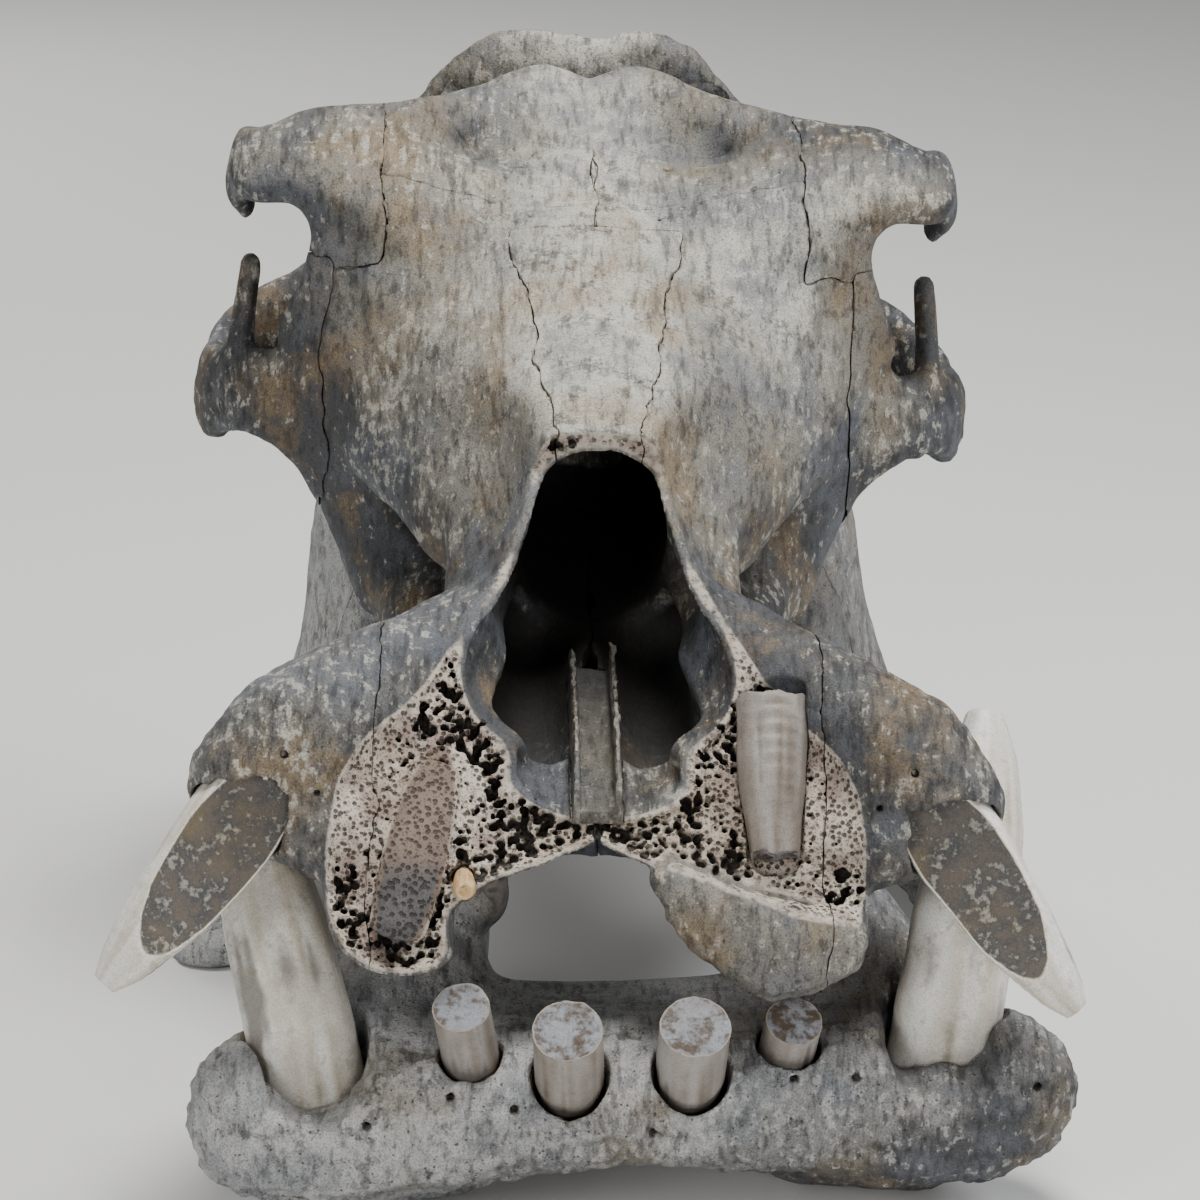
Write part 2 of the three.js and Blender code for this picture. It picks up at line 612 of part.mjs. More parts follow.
// The vomer, a trough of two thin plates along the floor of the nose, or with grow its slot.
function vomer(grow = 0) {
  const slab = (outline, from, to) => {
    const shape = new THREE.Shape(outline.map(([y, z]) => new THREE.Vector2(y, z)));
    const geometry = new THREE.ExtrudeGeometry(shape, { depth: to - from, bevelEnabled: false });
    // Maps the outline's plane to y and z, and the depth to x.
    geometry.applyMatrix4(new THREE.Matrix4().set(0, 0, 1, from, 1, 0, 0, 0, 0, 1, 0, 0, 0, 0, 0, 1));
    return solidOf(geometry);
  };
  const low = (outline) => outline.map(([y, z], n) => (
    [y + (y < 100 ? -grow : grow), n < 2 ? z - grow : z + grow]
  ));
  const { half, wall } = VOMER;
  return slab(low(VOMER_STRIP), -half - grow, half + grow)
    .add(slab(low(VOMER_PLATE), half - wall - grow, half + grow))
    .add(slab(low(VOMER_PLATE), -half - grow, -half + wall + grow));
}

const onSide = ({ stations, flat }, side) => ({
  stations: stations.map(([x, ...rest]) => [x * side, ...rest]),
  flat: [flat[0] * side, flat[1], flat[2]],
});

// ---- cutting a bone into its parts ----
const WIDE = 1000; // reaches past everything

// A box from x, y and z ranges, leaning back by tilt degrees about the line through y and z of its pivot.
// With splay its half width grows along y.
function block(range, grow = 0) {
  const all = [-WIDE, WIDE];
  const { x = all, y = all, z = all, tilt = 0, pivot = [0, 0], splay = 0 } = range;
  const sizes = [x, y, z].map(([from, to]) => to - from + 2 * grow);
  const middle = [x, y, z].map(([from, to]) => (from + to) / 2);
  const geometry = new THREE.BoxGeometry(...sizes);
  geometry.translate(middle[0], middle[1] - pivot[0], middle[2] - pivot[1]);
  const corners = geometry.attributes.position;
  for (let n = 0; n < corners.count; n++) {
    corners.setX(n, corners.getX(n) + Math.sign(corners.getX(n)) * splay * corners.getY(n));
  }
  geometry.rotateX(THREE.MathUtils.degToRad(tilt));
  geometry.translate(0, pivot[0], pivot[1]);
  return solidOf(geometry);
}

// A bone that gives up its parts one after another, with a thin gap at each cut.
function closedSolid(points, faces) {
  return new wasm.Manifold(new wasm.Mesh({
    numProp: 3, vertProperties: new Float32Array(points), triVerts: new Uint32Array(faces),
  }));
}

class Bone {
  constructor(field, count, material, group) {
    const { points, faces } = thin(contour(field), count);
    this.rest = closedSolid(points, faces);
    this.hollows = [];
    this.taken = [];
    this.material = material;
    this.group = group;
  }


  // Thins a part, then cuts its tooth sockets and resting flat, and drops the chips the cuts leave.
  finish(solid, name, range = {}) {
    const { vertProperties, triVerts } = solid.getMesh();
    const most = (triVerts.length / 3) * PART_SHARE;
    const { points, faces } = thin({ points: vertProperties, faces: triVerts }, most);
    let part = closedSolid(points, faces).intersect(block(range, -GAP / 4));
    for (const hollow of [...this.taken, ...this.hollows]) part = part.subtract(hollow);
    const mesh = part.getMesh();
    const body = mainBody({ points: mesh.vertProperties, faces: mesh.triVerts });
    this.group.add(meshOf(closedSolid(body.points, body.faces), name, this.material));
  }

  part(name, range) {
    this.finish(this.rest.intersect(block(range, -GAP / 2)), name, range);
    this.taken.push(block(range, GAP / 4));
    this.rest = this.rest.subtract(block(range, GAP / 2));
  }

  pair(name, range) {
    this.part(`${name}_right`, { ...range, x: [-range.x[1], -range.x[0]] });
    this.part(`${name}_left`, range);
  }

  last(name) {
    this.finish(this.rest, name);
  }
}

// The largest connected piece of a mesh, without the chips that a cut leaves at its edges.
function mainBody({ points, faces }) {
  const root = Array.from({ length: points.length / 3 }, (_, i) => i);
  const find = (v) => {
    while (root[v] !== v) v = root[v] = root[root[v]];
    return v;
  };
  for (let i = 0; i < faces.length; i += 3) {
    root[find(faces[i])] = find(faces[i + 1]);
    root[find(faces[i + 1])] = find(faces[i + 2]);
  }
  const size = new Map();
  for (const v of faces) size.set(find(v), (size.get(find(v)) ?? 0) + 1);
  const [largest] = [...size].reduce((a, b) => (b[1] > a[1] ? b : a));
  const used = new Map();
  const kept = { points: [], faces: [] };
  for (const v of faces) {
    if (find(v) !== largest) continue;
    if (!used.has(v)) {
      used.set(v, kept.points.length / 3);
      kept.points.push(points[3 * v], points[3 * v + 1], points[3 * v + 2]);
    }
    kept.faces.push(used.get(v));
  }
  return kept;
}

function meshOf(solid, name, material) {
  const { vertProperties, triVerts } = solid.getMesh();
  const geometry = new THREE.BufferGeometry();
  geometry.setAttribute("position", new THREE.BufferAttribute(vertProperties, 3));
  geometry.setIndex(new THREE.BufferAttribute(triVerts, 1));
  geometry.computeVertexNormals();
  const mesh = new THREE.Mesh(geometry, material);
  mesh.name = name;
  return mesh;
}

// A group in the pose of its bone: turned about a point on the middle line, then moved sideways.
function posedGroup({ x, y, z, yaw, roll }) {
  const group = new THREE.Group();
  const turn = new THREE.Euler(0, THREE.MathUtils.degToRad(roll), THREE.MathUtils.degToRad(yaw), "ZYX");
  const pivot = new THREE.Vector3(0, y, z);
  group.rotation.copy(turn);
  group.position.copy(pivot).sub(pivot.clone().applyEuler(turn)).add(new THREE.Vector3(x, 0, 0));
  return group;
}

// ---- the parts ----
const paint = (color, roughness) => new THREE.MeshStandardMaterial({ color, roughness, metalness: 0 });
const skullBone = paint(0xa79b85, 0.8);
const jawBone = paint(0x9c9788, 0.85);
const ivory = paint(0xe2d9c3, 0.45);
const wornTooth = paint(0x8f8778, 0.6);

const upper = posedGroup(CRANIUM_POSE);
const lower = posedGroup(MANDIBLE_POSE);
const cranium = new Bone(drawCranium(), CRANIUM_FACES, skullBone, upper);
const mandible = new Bone(drawMandible(), MANDIBLE_FACES, jawBone, lower);

function setTooth(bone, name, shape, side, material) {
  const placed = onSide(shape, side);
  bone.hollows.push(tooth(placed, GAP));
  bone.group.add(meshOf(tooth(placed), name, material));
}

for (const [label, side] of [["right", -1], ["left", 1]]) {
  setTooth(cranium, `upper_canine_${label}`, UPPER_CANINE, side, ivory);
  setTooth(mandible, `lower_canine_${label}`, LOWER_CANINE, side, ivory);
  const incisors = label === "left" ? [LOWER_INCISORS[0], SHORT_INCISOR] : LOWER_INCISORS;
  incisors.forEach((shape, n) => {
    setTooth(mandible, `lower_incisor_${n + 1}_${label}`, shape, side, wornTooth);
  });
}
cranium.hollows.push(vomer(GAP));
upper.add(meshOf(vomer(), "vomer", skullBone));
setTooth(cranium, "upper_incisor_root_left", UPPER_INCISOR, 1, wornTooth);
setTooth(cranium, "upper_peg_tooth_right", PEG_TOOTH, -1, wornTooth);

// The table is level, so the parts of the posed mandible are cut along it to make their resting flats.
lower.updateMatrix();
const below = new THREE.BoxGeometry(2 * WIDE, 2 * WIDE, WIDE).translate(0, 0, -WIDE / 2);
mandible.hollows.push(solidOf(below.applyMatrix4(lower.matrix.clone().invert())));

cranium.part("occiput", { y: [590, WIDE] });
cranium.pair("zygomatic", { x: [141, WIDE], y: [300, WIDE], z: [0, 391] });
cranium.pair("orbit", { x: [112, WIDE], y: [300, 500], z: [391, WIDE] });
cranium.pair("canine_boss", { x: [108, WIDE], y: [-WIDE, 220] });
cranium.pair("premaxilla", { x: [0, WIDE], y: [-WIDE, 112], tilt: -32, pivot: [112, 150] });
cranium.part("nasal_bones", {
  x: [-22, 22], y: [180, 400], z: [308, WIDE], tilt: 21, pivot: [228, 340], splay: 0.12,
});
cranium.pair("maxilla", { x: [0, WIDE], y: [-WIDE, 405] });
cranium.pair("frontal", { x: [0, WIDE], y: [-WIDE, 470], z: [370, WIDE] });
cranium.last("braincase");

mandible.part("mandible_symphysis", { y: [-WIDE, 172] });
mandible.pair("mandible_angle", {
  x: [150, WIDE], y: [340, WIDE], z: [-WIDE, 84], tilt: 4, pivot: [365, 84],
});
mandible.pair("mandible_ramus", { x: [0, WIDE], y: [440, WIDE] });
mandible.pair("mandible_body", { x: [0, WIDE] });

const skull = new THREE.Group();
skull.name = "hippopotamus_skull";
skull.add(upper, lower);
skull.position.set(-MIDDLE.x, -MIDDLE.y, 0);
export default skull;
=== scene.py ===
"""A fossil hippopotamus skull with its mandible, life size, on a pale studio floor.

Every bone is drawn as a signed distance field of blended blobs and limbs, in millimetres. Its left half is
mirrored across x = 0 and the few one-sided forms are added. The field is roughened, cut along its sutures
into the named bones and meshed. Teeth are distance fields too, cut by their worn faces. All meshes end in
metres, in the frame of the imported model.
"""
from __future__ import annotations

import logging
import math
from collections.abc import Callable, Sequence
from dataclasses import dataclass, field
from enum import Enum
from functools import partial
from typing import Protocol

import bpy
import numpy as np
import openvdb
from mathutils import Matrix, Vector


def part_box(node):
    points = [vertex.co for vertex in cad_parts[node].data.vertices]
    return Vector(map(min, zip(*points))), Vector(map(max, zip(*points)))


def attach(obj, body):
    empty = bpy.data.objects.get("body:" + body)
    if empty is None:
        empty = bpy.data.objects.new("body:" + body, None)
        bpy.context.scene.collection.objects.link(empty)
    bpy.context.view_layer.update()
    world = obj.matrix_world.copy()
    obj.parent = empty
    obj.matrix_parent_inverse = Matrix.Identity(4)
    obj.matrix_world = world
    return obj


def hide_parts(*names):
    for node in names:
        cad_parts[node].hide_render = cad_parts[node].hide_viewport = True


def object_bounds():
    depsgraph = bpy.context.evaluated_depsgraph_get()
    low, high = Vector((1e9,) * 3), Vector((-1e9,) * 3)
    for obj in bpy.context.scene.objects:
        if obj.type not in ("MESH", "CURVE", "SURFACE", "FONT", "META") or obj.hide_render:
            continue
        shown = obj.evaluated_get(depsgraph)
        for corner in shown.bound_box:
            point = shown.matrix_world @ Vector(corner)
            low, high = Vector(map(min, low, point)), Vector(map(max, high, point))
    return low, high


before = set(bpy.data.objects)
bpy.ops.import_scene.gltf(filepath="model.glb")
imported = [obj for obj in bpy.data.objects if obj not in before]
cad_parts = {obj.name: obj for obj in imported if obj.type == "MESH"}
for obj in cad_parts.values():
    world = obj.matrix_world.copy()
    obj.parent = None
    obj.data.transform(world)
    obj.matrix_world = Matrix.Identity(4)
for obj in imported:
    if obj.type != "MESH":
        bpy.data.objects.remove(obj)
CAD_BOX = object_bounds()

log = logging.getLogger("skull")

MM = 0.001  # in metres; the other lengths here are in mm
COARSE = 2.3  # spacings of the grids
MEDIUM = 1.9
FINE = 1.35
FAR = 60.0  # the distance in an empty grid
GAP = 0.3  # between two bones
WIDE = 900.0  # past the end of every bone
MIDDLE = (0.6, -322.5, 0.0)  # from a bone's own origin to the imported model's
PASSAGE_MIDDLE = 282.0  # height of the nasal passage's middle
PASSAGE_HALF = 84.0  # half of its width at most
PASSAGE_HEIGHTS = (192.0, 352.0)  # its floor and its roof
PASSAGE_END = 430.0  # how far back it reaches
PASSAGE_SHADE_SPAN = (22.0, 72.0)  # behind the break: where the painted shade on its walls starts, and where it is painted black
EDGE_REACH = 1.3  # in cells: how near both surfaces a blunt point of a cut's edge lies
EDGE_DEPTH = 0.06  # in cells: how far inside both it lies
EDGE_STEP = 1.6  # in cells: the farthest that it is moved

UP = (0.0, 0.0, 1.0)
SIDE = (1.0, 0.0, 0.0)
BACK = (0.0, 1.0, 0.0)
ROOF = (0.0, -0.34, 0.94)

Triple = tuple[float, float, float]
Rgb = tuple[float, float, float]
Station = tuple[float, float, float, float, float]
Window = tuple[slice, slice, slice]


class Half(Enum):
    """The animal's two sides, with the sign of x on each."""

    RIGHT = -1
    LEFT = 1

    @property
    def label(self) -> str:
        """The side's name, as the nodes' names end."""
        return self.name.lower()


class Slot(Enum):
    """The material slots of the record."""

    CRANIUM = "cranium_bone"
    MANDIBLE = "mandible_bone"
    IVORY = "canine_ivory"
    WORN = "worn_tooth"


# ---- curves and noise ----------------------------------------------------------------------------


def centripetal(points: np.ndarray, steps: int) -> np.ndarray:
    """Points along a centripetal Catmull-Rom curve.

    Args:
        points: The curve's own points, one in a row.
        steps: Steps in each span.

    Returns:
        The curve's points, the first and the last included.
    """
    first = 2 * points[0] - points[1]
    last = 2 * points[-1] - points[-2]
    padded = np.vstack([first, points, last])
    result = []
    for span in range(len(points) - 1):
        a, b, c, d = padded[span : span + 4]
        ab, bc, cd = (max(float(np.sum((q - p) ** 2)) ** 0.25, 1e-4) for p, q in ((a, b), (b, c), (c, d)))
        start = ((b - a) / ab - (c - a) / (ab + bc) + (c - b) / bc) * bc
        end = ((c - b) / bc - (d - b) / (bc + cd) + (d - c) / cd) * bc
        for step in range(steps):
            t = step / steps
            result.append(
                b + start * t + (3 * (c - b) - 2 * start - end) * t * t + (2 * (b - c) + start + end) * t**3
            )
    result.append(points[-1])
    return np.array(result)


def normalized(vectors: np.ndarray) -> np.ndarray:
    """The vectors at length 1."""
    return vectors / np.maximum(np.linalg.norm(vectors, axis=-1, keepdims=True), 1e-9)


def rotation(axis: int, angle: float) -> np.ndarray:
    """The matrix that turns about an axis, 0 for x, by an angle in radians."""
    first, second = (axis + 1) % 3, (axis + 2) % 3
    turn = np.eye(3)
    turn[first, first] = turn[second, second] = math.cos(angle)
    turn[first, second], turn[second, first] = -math.sin(angle), math.sin(angle)
    return turn


def smoothstep(low: float, high: float, value: np.ndarray) -> np.ndarray:
    """A smooth rise from 0 at low to 1 at high."""
    t = np.clip((value - low) / (high - low), 0, 1)
    return t * t * (3 - 2 * t)


class Noise:
    """Smooth noise between -1 and 1 on a repeating lattice of fixed random numbers."""

    SIZE = 64

    def __init__(self, seed: int) -> None:
        """Fills the lattice from the seed."""
        self.lattice = np.random.RandomState(seed).uniform(-1, 1, (self.SIZE,) * 3).astype(np.float32)

    def at(self, points: np.ndarray, wave: float | Triple) -> np.ndarray:
        """Samples the noise.

        Args:
            points: Points, one in a row.
            wave: Size of a lump, once or along each axis.

        Returns:
            One value for each point.
        """
        scaled = points / np.asarray(wave)
        cell = np.floor(scaled).astype(np.int64)
        t = (scaled - cell).astype(np.float32)
        t = t * t * (3 - 2 * t)
        low, high = cell % self.SIZE, (cell + 1) % self.SIZE
        total = np.zeros(len(points), np.float32)
        for corner in range(8):
            bits = [(corner >> axis) & 1 for axis in range(3)]
            index = tuple(high[:, axis] if bit else low[:, axis] for axis, bit in enumerate(bits))
            weight = np.prod([t[:, axis] if bit else 1 - t[:, axis] for axis, bit in enumerate(bits)], axis=0)
            total += weight * self.lattice[index]
        return total


# ---- shapes a bone is drawn with -----------------------------------------------------------------


class Grid:
    """A signed distance, negative inside, sampled on a regular grid in millimetres."""

    def __init__(self, low: Sequence[float], high: Sequence[float], cell: float) -> None:
        """Lays the grid from low to high and fills it with emptiness."""
        self.low = np.array(low, float)
        self.cell = cell
        self.count = np.ceil((np.array(high, float) - self.low) / cell).astype(int) + 1
        self.value = np.full(tuple(self.count), FAR, np.float32)

    @classmethod
    def of(cls, low: Sequence[float], cell: float, value: np.ndarray) -> Grid:
        """A grid that holds the given values."""
        grid = cls(low, low, cell)
        grid.value, grid.count = value, np.array(value.shape)
        return grid

    def whole(self) -> Window:
        """The slices that cover the grid."""
        return tuple(slice(0, count) for count in self.count)

    def corner(self, window: Window) -> np.ndarray:
        """Where a window's lowest node lies."""
        return self.low + self.cell * np.array([part.start for part in window])

    def window(self, low: np.ndarray, high: np.ndarray) -> Window | None:
        """The grid's slices that cover a box, or None if it lies outside."""
        first = np.maximum(np.floor((low - self.low) / self.cell).astype(int), 0)
        last = np.minimum(np.ceil((high - self.low) / self.cell).astype(int) + 1, self.count)
        if np.any(first >= last):
            return None
        return tuple(slice(a, b) for a, b in zip(first, last))

    def axes(self, window: Window) -> list[np.ndarray]:
        """The coordinates along each axis of a window, shaped to broadcast."""
        shapes = ((-1, 1, 1), (1, -1, 1), (1, 1, -1))
        return [
            (self.low[k] + self.cell * np.arange(part.start, part.stop)).astype(np.float32).reshape(shape)
            for k, (part, shape) in enumerate(zip(window, shapes))
        ]

    def blend(self, window: Window, distance: np.ndarray, width: float, sign: int) -> None:
        """Joins a distance to the grid, or with sign -1 cuts it away, rounding their meeting.

        Args:
            window: Where the distance is given.
            distance: The shape's distance there.
            width: How wide the rounding is.
            sign: 1 to join, -1 to cut.
        """
        old = sign * self.value[window]
        near = np.maximum(width - np.abs(old - distance), 0)
        self.value[window] = sign * (np.minimum(old, distance) - near * near / (4 * width))

    def mirrored(self) -> Grid:
        """The grid with its copy across x = 0."""
        low = (-(self.count[0] - 1) * self.cell, self.low[1], self.low[2])
        return Grid.of(low, self.cell, np.concatenate([self.value[:0:-1], self.value]))

    def copy(self, low: Sequence[float] | None = None, high: Sequence[float] | None = None) -> Grid:
        """A copy of the grid, or of the part of it that covers a box."""
        window = self.whole() if low is None else self.window(np.array(low, float), np.array(high, float))
        return Grid.of(self.corner(window), self.cell, self.value[window].copy())

    def sample(self, points: np.ndarray) -> np.ndarray:
        """The distance at points, between the grid's nodes on straight lines."""
        scaled = (points - self.low) / self.cell
        cell = np.clip(np.floor(scaled).astype(int), 0, self.count - 2)
        t = np.clip(scaled - cell, 0, 1)
        total = np.zeros(len(points))
        for corner in range(8):
            bits = np.array([(corner >> axis) & 1 for axis in range(3)])
            weight = np.prod(np.where(bits, t, 1 - t), axis=1)
            i, j, k = (cell + bits).T
            total += weight * self.value[i, j, k]
        return total

    def slope(self, points: np.ndarray) -> np.ndarray:
        """The direction in which the distance grows, at each point."""
        step = 0.6 * self.cell
        sides = np.eye(3) * step
        rises = [self.sample(points + side) - self.sample(points - side) for side in sides]
        return np.stack(rises, axis=1) / (2 * step)

    def near_surface(self, reach: float) -> tuple[tuple[np.ndarray, ...], np.ndarray]:
        """The grid's nodes close to the surface.

        Args:
            reach: How close.

        Returns:
            Their indices and their positions.
        """
        index = np.nonzero(np.abs(self.value) < reach)
        return index, self.low + self.cell * np.stack(index, axis=1)

    def surface(self) -> tuple[np.ndarray, np.ndarray]:
        """The surface as points and faces of four corners."""
        band = 3 * self.cell
        padded = np.pad(np.clip(self.value, -band, band), 1, constant_values=band)
        volume = openvdb.FloatGrid(band)
        volume.copyFromArray(padded)
        points, faces = volume.convertToQuads(0.0)
        return self.low + self.cell * (points.astype(float) - 1), faces.astype(np.int64)


class Shape(Protocol):
    """Something that can be joined to a grid or cut from it."""

    def draw(self, grid: Grid, width: float, sign: int) -> None:
        """Joins the shape to a grid, or with sign -1 cuts it."""


@dataclass(frozen=True)
class Blob:
    """An ellipsoid, turned about x, y and z by degrees."""

    at: Triple
    radii: Triple
    turn: Triple = (0.0, 0.0, 0.0)

    def draw(self, grid: Grid, width: float, sign: int) -> None:
        """Joins the blob to a grid, or with sign -1 cuts it."""
        at, radii = np.array(self.at, float), np.array(self.radii, float)
        reach = radii.max() + width + 2 * grid.cell
        window = grid.window(at - reach, at + reach)
        if window is None:
            return
        a, b, c = np.radians(self.turn)
        turn = rotation(0, a) @ rotation(1, b) @ rotation(2, c)
        offsets = [axis - middle for axis, middle in zip(grid.axes(window), self.at)]
        local = [sum(float(turn[k, n]) * offsets[k] for k in range(3)) / float(radii[n]) for n in range(3)]
        near = np.sqrt(sum(u * u for u in local))
        steep = np.sqrt(sum((u / float(r)) ** 2 for u, r in zip(local, radii)))
        grid.blend(window, near * (near - 1) / np.maximum(steep, 1e-4), width, sign)


@dataclass(frozen=True)
class Limb:
    """A tapering limb or plate along a smooth path.

    A station holds x, y, z, half width and half thickness. flat is the direction of the thickness, once or
    for each station, and square above 2 gives fuller edges.
    """

    stations: Sequence[Sequence[float]]
    flat: Sequence[float] | Sequence[Sequence[float]] = SIDE
    square: float = 2.0
    steps: int = 4

    def links(self) -> list[tuple[np.ndarray, np.ndarray, float, float]]:
        """The path's points, each with its flat direction, half width and half thickness."""
        stations = np.array(self.stations, float)
        flats = np.array(self.flat, float)
        if flats.ndim == 1:
            flats = np.tile(flats, (len(stations), 1))
        path = centripetal(stations[:, :3], self.steps)
        place = np.arange(len(path)) / self.steps
        knots = np.arange(len(stations))
        columns = [np.interp(place, knots, column) for column in (*flats.T, stations[:, 3], stations[:, 4])]
        normals = normalized(np.stack(columns[:3], axis=1))
        return [(path[i], normals[i], columns[3][i], columns[4][i]) for i in range(len(path))]

    def grown(self, by: float) -> Limb:
        """The limb, thicker by a margin all round."""
        stations = [(*s[:3], s[3] + by, s[4] + by) for s in self.stations]
        return Limb(stations, self.flat, self.square, self.steps)

    def draw(self, grid: Grid, width: float, sign: int) -> None:
        """Joins the limb to a grid, or with sign -1 cuts it."""
        links = self.links()
        margin = width + 2 * grid.cell
        spots = np.array([link[0] for link in links])
        reach = max(max(link[2], link[3]) for link in links) + margin
        window = grid.window(spots.min(0) - reach, spots.max(0) + reach)
        if window is None:
            return
        nearest = Grid.of(grid.corner(window), grid.cell, np.full_like(grid.value[window], FAR))
        for start, end in zip(links, links[1:]):
            self.measure(nearest, start, end, margin)
        grid.blend(window, nearest.value, width, sign)

    def measure(self, grid: Grid, start: tuple, end: tuple, margin: float) -> None:
        """Lowers a grid to the distance from one link of the path."""
        (a, normal_a, wide_a, thick_a), (b, normal_b, wide_b, thick_b) = start, end
        reach = max(wide_a, thick_a, wide_b, thick_b) + margin
        window = grid.window(np.minimum(a, b) - reach, np.maximum(a, b) + reach)
        length = float(np.linalg.norm(b - a))
        if window is None or length == 0:
            return
        way = (b - a) / length
        offset = [axis - np.float32(origin) for axis, origin in zip(grid.axes(window), a)]
        along = sum(o * np.float32(w) for o, w in zip(offset, way))
        t = np.clip(along / np.float32(length), 0, 1)
        over = along - t * np.float32(length)
        squared = sum(o * o for o in offset) - along * along
        lean = normal_b - normal_a
        lift = sum(o * np.float32(n) for o, n in zip(offset, normal_a))
        lift = lift + t * sum(o * np.float32(n) for o, n in zip(offset, lean))
        drop = np.float32(np.dot(b - a, normal_a)) + t * np.float32(np.dot(b - a, lean))
        across = lift - t * drop
        wide = np.float32(wide_a) + t * np.float32(wide_b - wide_a)
        thick = np.float32(thick_a) + t * np.float32(thick_b - thick_a)
        thin = np.minimum(wide, thick)
        u = np.sqrt(np.maximum(squared - across * across, 0)) / wide
        v = np.abs(across) / thick
        w = np.abs(over) / thin
        if self.square == 2:
            q = np.sqrt(u * u + v * v + w * w)
        else:
            q = (u**self.square + v**self.square + w**self.square) ** (1 / self.square)
        np.minimum(grid.value[window], (q - 1) * thin, out=grid.value[window])


@dataclass(frozen=True)
class Fracture:
    """The oblique break across the snout.

    At a height h above its lowest point it lies at y + slope h + bend h h, out to half from the middle.
    Inside the rind the spongy bone has crumbled back by the recess.
    """

    y: float = 22.0
    z: float = 134.0
    slope: float = 0.55
    bend: float = 0.0022
    half: float = 136.0
    reach: float = 214.0
    recess: float = 3.4
    rind: tuple[float, float] = (2.4, 6.5)

    def distance(self, x: np.ndarray, y: np.ndarray, z: np.ndarray) -> np.ndarray:
        """Distance from all that lies in front of the break."""
        h = np.maximum(z - self.z, 0)
        edge = self.y + self.slope * h + self.bend * h * h
        steep = self.slope + 2 * self.bend * h
        return np.maximum(np.maximum((y - edge) / np.sqrt(1 + steep * steep), y - self.reach), x - self.half)

    def draw(self, grid: Grid, width: float, sign: int) -> None:
        """Cuts a grid along the break."""
        window = grid.window(np.array([0, -60, self.z - 60]), np.array([self.half + 20, 300, 420]))
        if window is not None:
            crumbled = self.recess * smoothstep(*self.rind, -grid.value[window])
            grid.blend(window, (self.distance(*grid.axes(window)) - crumbled).astype(np.float32), width, sign)


@dataclass(frozen=True)
class Block:
    """A box that cuts a named bone out of a skull, tilted about the x direction through a pivot."""

    x: tuple[float, float] = (-WIDE, WIDE)
    y: tuple[float, float] = (-WIDE, WIDE)
    z: tuple[float, float] = (-WIDE, WIDE)
    tilt: float = 0.0
    pivot: tuple[float, float] = (0.0, 0.0)
    splay: float = 0.0

    def on(self, side: Half) -> Block:
        """The block on one side of the skull."""
        x = self.x if side is Half.LEFT else (-self.x[1], -self.x[0])
        return Block(x, self.y, self.z, self.tilt, self.pivot, self.splay)

    def distance(self, x: np.ndarray, y: np.ndarray, z: np.ndarray) -> np.ndarray:
        """Distance from the box, negative inside."""
        turn = math.radians(-self.tilt)
        dy, dz = y - self.pivot[0], z - self.pivot[1]
        back = self.pivot[0] + dy * math.cos(turn) - dz * math.sin(turn)
        up = self.pivot[1] + dy * math.sin(turn) + dz * math.cos(turn)
        out = x - np.sign(x) * self.splay * (back - self.pivot[0])
        pairs = ((out, self.x), (back, self.y), (up, self.z))
        spread = 0 * x + 0 * y + 0 * z
        return np.maximum.reduce([np.maximum(low - v, v - high) + spread for v, (low, high) in pairs])


# ---- meshes --------------------------------------------------------------------------------------


@dataclass(frozen=True)
class Pose:
    """How a bone lies: turned about a point on its middle line, then moved sideways, in mm and degrees."""

    x: float
    y: float
    z: float
    yaw: float
    roll: float

    def turn(self) -> np.ndarray:
        """The rotation as a matrix."""
        return rotation(2, math.radians(self.yaw)) @ rotation(1, math.radians(self.roll))

    def to_world(self, points: np.ndarray) -> np.ndarray:
        """Points of the bone, in metres in the frame of the whole skull."""
        pivot = np.array([0, self.y, self.z])
        return eased_in(((points - pivot) @ self.turn().T + pivot + np.array([self.x, 0, 0]) + MIDDLE) * MM)

    def to_bone(self, points: np.ndarray) -> np.ndarray:
        """Points of the whole skull, in millimetres in the bone's own frame."""
        pivot = np.array([0, self.y, self.z])
        return (points / MM - MIDDLE - np.array([self.x, 0, 0]) - pivot) @ self.turn() + pivot


def eased_in(points: np.ndarray, band: float = 4.0 * MM) -> np.ndarray:
    """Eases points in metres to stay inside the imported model's box, except at the floor."""
    low, high = (np.array(corner, float) for corner in CAD_BOX)
    over, under = (np.maximum(gap, 0) for gap in (points - high + band, low + band - points))
    under[:, 2] = 0
    return points - over + under + band * (np.tanh(over / band) - np.tanh(under / band))


def largest_body(points: np.ndarray, faces: np.ndarray) -> tuple[np.ndarray, np.ndarray]:
    """Drops all but the largest connected body of a mesh.

    Args:
        points: The mesh's points.
        faces: Its faces, as rows of point numbers.

    Returns:
        The points and faces that stay.
    """
    label = np.arange(len(points))
    while True:
        lowest = label[faces].min(axis=1)
        fresh = label.copy()
        for corner in range(faces.shape[1]):
            np.minimum.at(fresh, faces[:, corner], lowest)
        fresh = fresh[fresh]
        if np.array_equal(fresh, label):
            break
        label = fresh
    main = np.bincount(label[faces[:, 0]]).argmax()
    faces = faces[label[faces[:, 0]] == main]
    used, numbers = np.unique(faces, return_inverse=True)
    return points[used], numbers.reshape(faces.shape)


